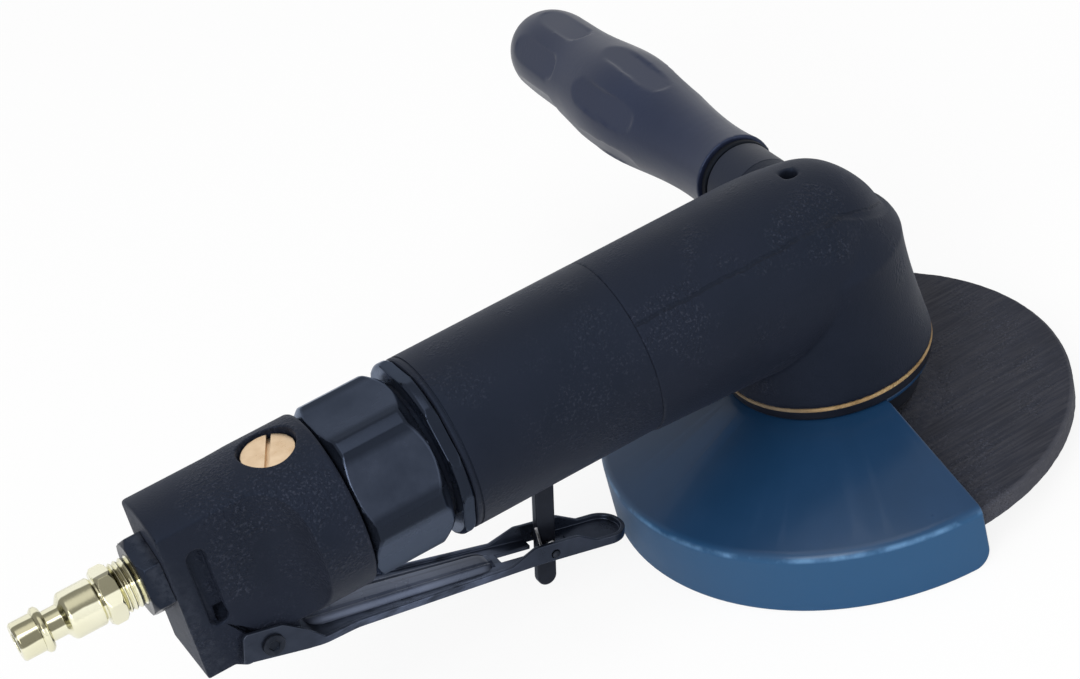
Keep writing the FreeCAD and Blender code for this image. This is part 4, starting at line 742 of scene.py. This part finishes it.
def shaded_cast_crease(tree, place):
    # Fine broken line where the two halves of the casting's mould met, painted as shade in the
    # crease and cut in as a shallow groove
    at = around(tree, place)
    wander = times(tree, minus(tree, noise(tree, place, 210.0), 0.5), crease_wander * MM)
    off = math_node(tree, "ABSOLUTE", plus(tree, above_crease(tree, at), wander))
    line = past(tree, off, crease_half_width, crease_core)
    broken = spread(tree, noise(tree, place, 130.0, 3.0, 0.6), 0.36, 0.5)
    return times(tree, times(tree, line, broken), past(tree, at["Along"], *casting_starts))


def cast_thickness(tree, place):
    # The coat lies thicker along the casting's crease and on the throttle housing's front band
    at = around(tree, place)
    crease = times(tree, within(tree, above_crease(tree, at), crease_patch),
                   within(tree, at["Along"], crease_patch_along))
    band = times(tree, within(tree, at["Height"], housing_patch),
                 within(tree, at["Along"], housing_patch_along))
    more = times(tree, plus(tree, crease, band), patch_gain)
    boss = past(tree, at["Side"], *smooth_boss)
    return minus(tree, minus(tree, more, patch_drop), times(tree, boss, smooth_boss_drop))


def sleeve_thickness(tree, place):
    # Thicker towards the joint with the casting
    along = around(tree, place)["Along"]
    return times(tree, within(tree, along, sleeve_patch_along), sleeve_patch_gain)


def head_tint(tree, place, colour):
    # The boss under the handle takes the neck's smoother tone
    side = around(tree, place)["Side"]
    return mixed(tree, past(tree, side, *neck_tone_from), colour, neck_tone)


# Heights over the guard's lower edge and widths of edge bands, in mm
lit_skirt_heights = (18.6, 16.6)
bend_highlight_rises = (16.0, 16.7)
bend_highlight_falls = (17.8, 17.1)
nut_dark_corner_width = (1.1, 0.5)
torn_rim = (1.2, 0.3)
painted_skirt_light_tone = (0.017, 0.072, 0.165)
painted_bend_highlight_blue = (0.09, 0.2, 0.36)
painted_corner_reflection_tone = (0.012, 0.016, 0.026)
cloth_tone = (0.06, 0.06, 0.07)
torn_rim_tone = (0.09, 0.092, 0.11)


def guard_painted_light(tree, place, colour):
    # Painted light on the skirt under the bend, and a thin painted highlight along the bend
    height = minus(tree, around(tree, place)["Height"], guard_low.z)
    colour = mixed(tree, past(tree, height, *lit_skirt_heights), colour, painted_skirt_light_tone)
    line = times(tree, past(tree, height, *bend_highlight_rises), past(tree, height, *bend_highlight_falls))
    broken = spread(tree, noise(tree, place, 90.0, 4.0, 0.6), 0.42, 0.6)
    return mixed(tree, times(tree, line, broken), colour, painted_bend_highlight_blue)


def nut_painted_reflection(tree, place, colour):
    # Painted dark reflection on the turned corners beside the flats
    inside = minus(tree, nut_high.y, around(tree, place)["From Body Axis"])
    return mixed(tree, past(tree, inside, *nut_dark_corner_width), colour, painted_corner_reflection_tone)


def disc_tint(tree, place, colour):
    # Fine streaks of the glass cloth across the face, and a paler torn rim
    threads = noise(tree, stretched(tree, place, (60.0, 900.0, 900.0)), 1.0, 4.0, 0.65)
    streaks = spread(tree, threads, 0.42, 0.7)
    colour = mixed(tree, times(tree, streaks, 0.5), colour, cloth_tone)
    rim = past(tree, minus(tree, disc_high.x, around(tree, place)["From Spindle"]), *torn_rim)
    return mixed(tree, times(tree, rim, 0.4), colour, torn_rim_tone)


# Spans along the lever from its pivot, in mm
lever_light_span = (22, 62, 12)
pressing_shade_span = (44, 66)
painted_lever_light_tone = (0.10, 0.122, 0.185)
pressing_line_tone = (0.03, 0.036, 0.055)
painted_pressing_shade_tone = (0.018, 0.022, 0.034)


def along_lever(tree, place):
    # Distance from the pivot along the lever's slope
    turned = node(tree, "ShaderNodeVectorRotate", rotation_type="Y_AXIS")
    tree.links.new(place, turned.inputs["Vector"])
    turned.inputs["Center"].default_value = lever_pivot
    turned.inputs["Angle"].default_value = -math.radians(lever_slope_degrees)
    parts = node(tree, "ShaderNodeSeparateXYZ")
    tree.links.new(turned.outputs[0], parts.inputs[0])
    return minus(tree, parts.outputs[0], lever_pivot.x)


def lever_painted_light(tree, place, colour):
    # Painted light on the sheet between the ear and the latch, in long streaks
    middle = within(tree, along_lever(tree, place), lever_light_span)
    streaks = noise(tree, stretched(tree, place, (120.0, 500.0, 500.0)), 1.0, 3.0, 0.6)
    pale = times(tree, middle, spread(tree, streaks, 0.3, 0.62))
    return mixed(tree, times(tree, pale, 0.75), colour, painted_lever_light_tone)


def pressing_painted_light_and_shade(tree, place, colour):
    # Painted shade towards the latch, with darker long lines along it
    lengthwise_noise = noise(tree, stretched(tree, place, (8.0, 900.0, 8.0)), 1.0, 2.0, 0.5)
    lines = spread(tree, lengthwise_noise, 0.5, 0.62)
    colour = mixed(tree, times(tree, lines, 0.45), colour, pressing_line_tone)
    fade = past(tree, along_lever(tree, place), *pressing_shade_span)
    return mixed(tree, times(tree, fade, 0.8), colour, painted_pressing_shade_tone)


# Bands of painted reflection on the plug, as angles in radians from its near side upwards, and its
# slim radius in mm
plug_wide_reflection = (0.72, 1.5)
plug_slim_reflections = ((1.0, 1.5), (0.35, 0.78))
plug_reflection_edge = 0.07
plug_slim = (5.6, 5.3)
painted_plug_reflection_tone = (0.15, 0.138, 0.085)


def plug_painted_reflections(tree, place, colour):
    # Painted dull olive reflections in bands along the upper near side of the bright plating
    at = around(tree, place, plug_axis_z)
    above = minus(tree, at["Height"], plug_axis_z)
    turn = math_node(tree, "ARCTAN2", above, times(tree, at["Side"], -1.0))
    ripple = noise(tree, stretched(tree, place, (160.0, 420.0, 420.0)), 1.0)
    turn = plus(tree, turn, times(tree, ripple, 0.16))
    wide = between(tree, turn, *plug_wide_reflection, plug_reflection_edge)
    first, second = (between(tree, turn, *band, plug_reflection_edge) for band in plug_slim_reflections)
    bands = node(tree, "ShaderNodeMix", data_type="FLOAT")
    tree.links.new(past(tree, at["From Body Axis"], *plug_slim), bands.inputs["Factor"])
    tree.links.new(wide, bands.inputs[2])
    tree.links.new(math_node(tree, "MAXIMUM", first, second), bands.inputs[3])
    return mixed(tree, times(tree, bands.outputs[0], 0.9), colour, painted_plug_reflection_tone)


gasket_highlight_reach = (13, 5)
painted_gasket_highlight_tone = (0.1, 0.09, 0.075)
gasket_fibre_tone = (0.09, 0.06, 0.03)


def gasket_fibre_and_highlight(tree, place, colour):
    # Dark specks of fibre and a painted grey highlight near one end
    from_end = minus(tree, around(tree, place)["Along"], gasket_low.x)
    grey_highlight = past(tree, from_end, *gasket_highlight_reach)
    colour = mixed(tree, times(tree, grey_highlight, 0.65), colour, painted_gasket_highlight_tone)
    dark = spread(tree, noise(tree, place, 900.0, 3.0, 0.6), 0.58, 0.7)
    return mixed(tree, times(tree, dark, 0.6), colour, gasket_fibre_tone)


blue_sheen = (0.42, 0.56, 0.86)


# Finishes by name. Tones are linear, grain and cloud_scale are per metre, depth is in metres
finish_values = {
    "head_black": dict(
        dark=(0.0035, 0.0045, 0.008), light=(0.0075, 0.009, 0.0155), roughness=0.58, grain=1900.0,
        strength=0.8, depth=0.00028, glint_specks=0.42, specular=0.25, sheen_tone=blue_sheen, edge_wear_and_highlight=0.3,
        worn=(0.04, 0.045, 0.06), dust=0.03, tint=head_tint, thickness=cast_thickness,
        shaded_groove=shaded_cast_crease),
    "sleeve_black": dict(
        dark=(0.0035, 0.0045, 0.0082), light=(0.007, 0.0085, 0.0145), roughness=0.55,
        grain=2300.0, strength=0.6, depth=0.00018, glint_specks=0.28, specular=0.25,
        sheen_tone=blue_sheen, dust=0.03, thickness=sleeve_thickness),
    "nut_black": dict(
        dark=(0.018, 0.024, 0.039), light=(0.036, 0.045, 0.068), roughness=0.25, grain=420.0,
        strength=0.05, depth=0.0002, specular=0.35, metallic=0.75, cloud_scale=60.0,
        sheen_tone=(0.7, 0.8, 1.0), tint=nut_painted_reflection),
    "cover_black": dict(
        dark=(0.0045, 0.005, 0.008), light=(0.009, 0.01, 0.015), roughness=0.36, grain=900.0,
        strength=0.2, depth=0.0001, specular=0.3, sheen_tone=blue_sheen, edge_wear_and_highlight=0.3),
    "guard_paint": dict(
        dark=(0.0075, 0.033, 0.083), light=(0.0095, 0.039, 0.098), roughness=0.36, grain=420.0,
        strength=0.06, depth=0.00015, specular=0.16, coat=0.14, coat_roughness=0.18,
        roughness_change=0.05, tint=guard_painted_light),
    "lever_paint": dict(
        dark=(0.013, 0.017, 0.027), light=(0.030, 0.037, 0.056), roughness=0.3, grain=700.0,
        strength=0.12, depth=0.0001, specular=0.35, metallic=0.6, edge_wear_and_highlight=0.7,
        worn=(0.2, 0.22, 0.27), sheen_tone=(0.7, 0.8, 1.0), cloud_scale=70.0, tint=lever_painted_light),
    # A lighter copy of the lever paint: painted light on the broad rib
    "lever_pressing_painted_light": dict(
        dark=(0.085, 0.104, 0.158), light=(0.15, 0.175, 0.245), roughness=0.3, grain=700.0,
        strength=0.12, depth=0.0001, specular=0.4, metallic=0.25, edge_wear_and_highlight=0.6,
        worn=(0.42, 0.45, 0.55), sheen_tone=(0.7, 0.8, 1.0), cloud_scale=70.0,
        tint=pressing_painted_light_and_shade),
    "grip_plastic": dict(
        dark=(0.009, 0.0118, 0.026), light=(0.0138, 0.0178, 0.0365), roughness=0.35, grain=2100.0,
        strength=0.12, depth=0.0001, specular=0.42, sheen_tone=(0.45, 0.58, 0.95),
        cloud_scale=28.0),
    "neck_black": dict(
        dark=(0.0065, 0.008, 0.0145), light=(0.0115, 0.0138, 0.0245), roughness=0.45,
        grain=1500.0, strength=0.2, depth=0.0001, specular=0.3, sheen_tone=blue_sheen),
    "seal_rubber": dict(
        dark=(0.002, 0.0022, 0.003), light=(0.004, 0.0042, 0.005), roughness=0.6, grain=1500.0,
        strength=0.2, depth=0.0001, specular=0.15, sheen_tone=blue_sheen),
    "gasket_paper": dict(
        dark=(0.22, 0.135, 0.055), light=(0.42, 0.29, 0.15), roughness=0.85, grain=1500.0,
        strength=0.5, depth=0.0002, glint_specks=0.4, specular=0.3, cloud_scale=170.0,
        tint=gasket_fibre_and_highlight),
    "regulator_brass": dict(
        dark=(0.62, 0.44, 0.27), light=(0.80, 0.62, 0.43), roughness=0.3, grain=800.0,
        strength=0.12, depth=0.0001, metallic=1.0, cloud_scale=160.0),
    "plug_plating": dict(
        dark=(0.79, 0.765, 0.56), light=(0.88, 0.862, 0.69), roughness=0.24, grain=500.0,
        strength=0.05, depth=0.0001, metallic=1.0, roughness_change=0.04, tint=plug_painted_reflections),
    "disc_abrasive": dict(
        dark=(0.013, 0.0145, 0.022), light=(0.026, 0.029, 0.042), roughness=0.8, grain=1100.0,
        strength=0.9, depth=0.0004, glint_specks=0.3, specular=0.2, cloud_scale=60.0, tint=disc_tint),
    "bare_steel": dict(
        dark=(0.42, 0.42, 0.43), light=(0.56, 0.56, 0.57), roughness=0.32, grain=600.0,
        strength=0.1, depth=0.0001, metallic=1.0),
    "motor_iron": dict(
        dark=(0.2, 0.2, 0.2), light=(0.3, 0.3, 0.3), roughness=0.5, grain=900.0, strength=0.2,
        depth=0.0001, metallic=1.0),
    "vane_composite": dict(
        dark=(0.2, 0.11, 0.05), light=(0.3, 0.18, 0.09), roughness=0.6, grain=1200.0,
        strength=0.2, depth=0.0001),
    "latch_black": dict(
        dark=(0.006, 0.007, 0.011), light=(0.013, 0.015, 0.022), roughness=0.34, grain=700.0,
        strength=0.12, depth=0.0001, specular=0.3, metallic=0.4, edge_wear_and_highlight=0.5,
        worn=(0.14, 0.15, 0.18), sheen_tone=(0.7, 0.8, 1.0), cloud_scale=70.0),
    "bushing_black": dict(
        dark=(0.0022, 0.0024, 0.004), light=(0.005, 0.0055, 0.009), roughness=0.28, grain=900.0,
        strength=0.12, depth=0.0001, specular=0.4, sheen_tone=blue_sheen, edge_wear_and_highlight=0.6),
    "pin_black": dict(
        dark=(0.0012, 0.0014, 0.002), light=(0.003, 0.0033, 0.0045), roughness=0.3, grain=900.0,
        strength=0.15, depth=0.0001, specular=0.3, sheen_tone=blue_sheen, edge_wear_and_highlight=0.4),
    "fastener_black": dict(
        dark=(0.006, 0.0065, 0.009), light=(0.013, 0.014, 0.018), roughness=0.38, grain=900.0,
        strength=0.15, depth=0.0001, specular=0.35, sheen_tone=blue_sheen, edge_wear_and_highlight=0.5),
}


def make_finishes():
    return {name: coated(name, **values) for name, values in finish_values.items()}


def finish_cad_nodes(finishes):
    for entry in frame["record"]["subparts"]:
        piece = nodes[entry["node"]]
        material = finishes[entry["material_slot"]]
        piece.data.materials.clear()
        piece.data.materials.append(material)


bpy.context.scene.view_settings.view_transform = "Standard"
add_camera()
for lamp in lamps:
    add_lamp(*lamp)
set_world()
add_floor()
finishes = make_finishes()
finish_cad_nodes(finishes)
add_eased_pieces(finishes)
add_soft_pieces(finishes)
add_valve_spring(finishes)
add_handle_neck(finishes)
add_lever_pressing(finishes)
add_grinding_disc(finishes)
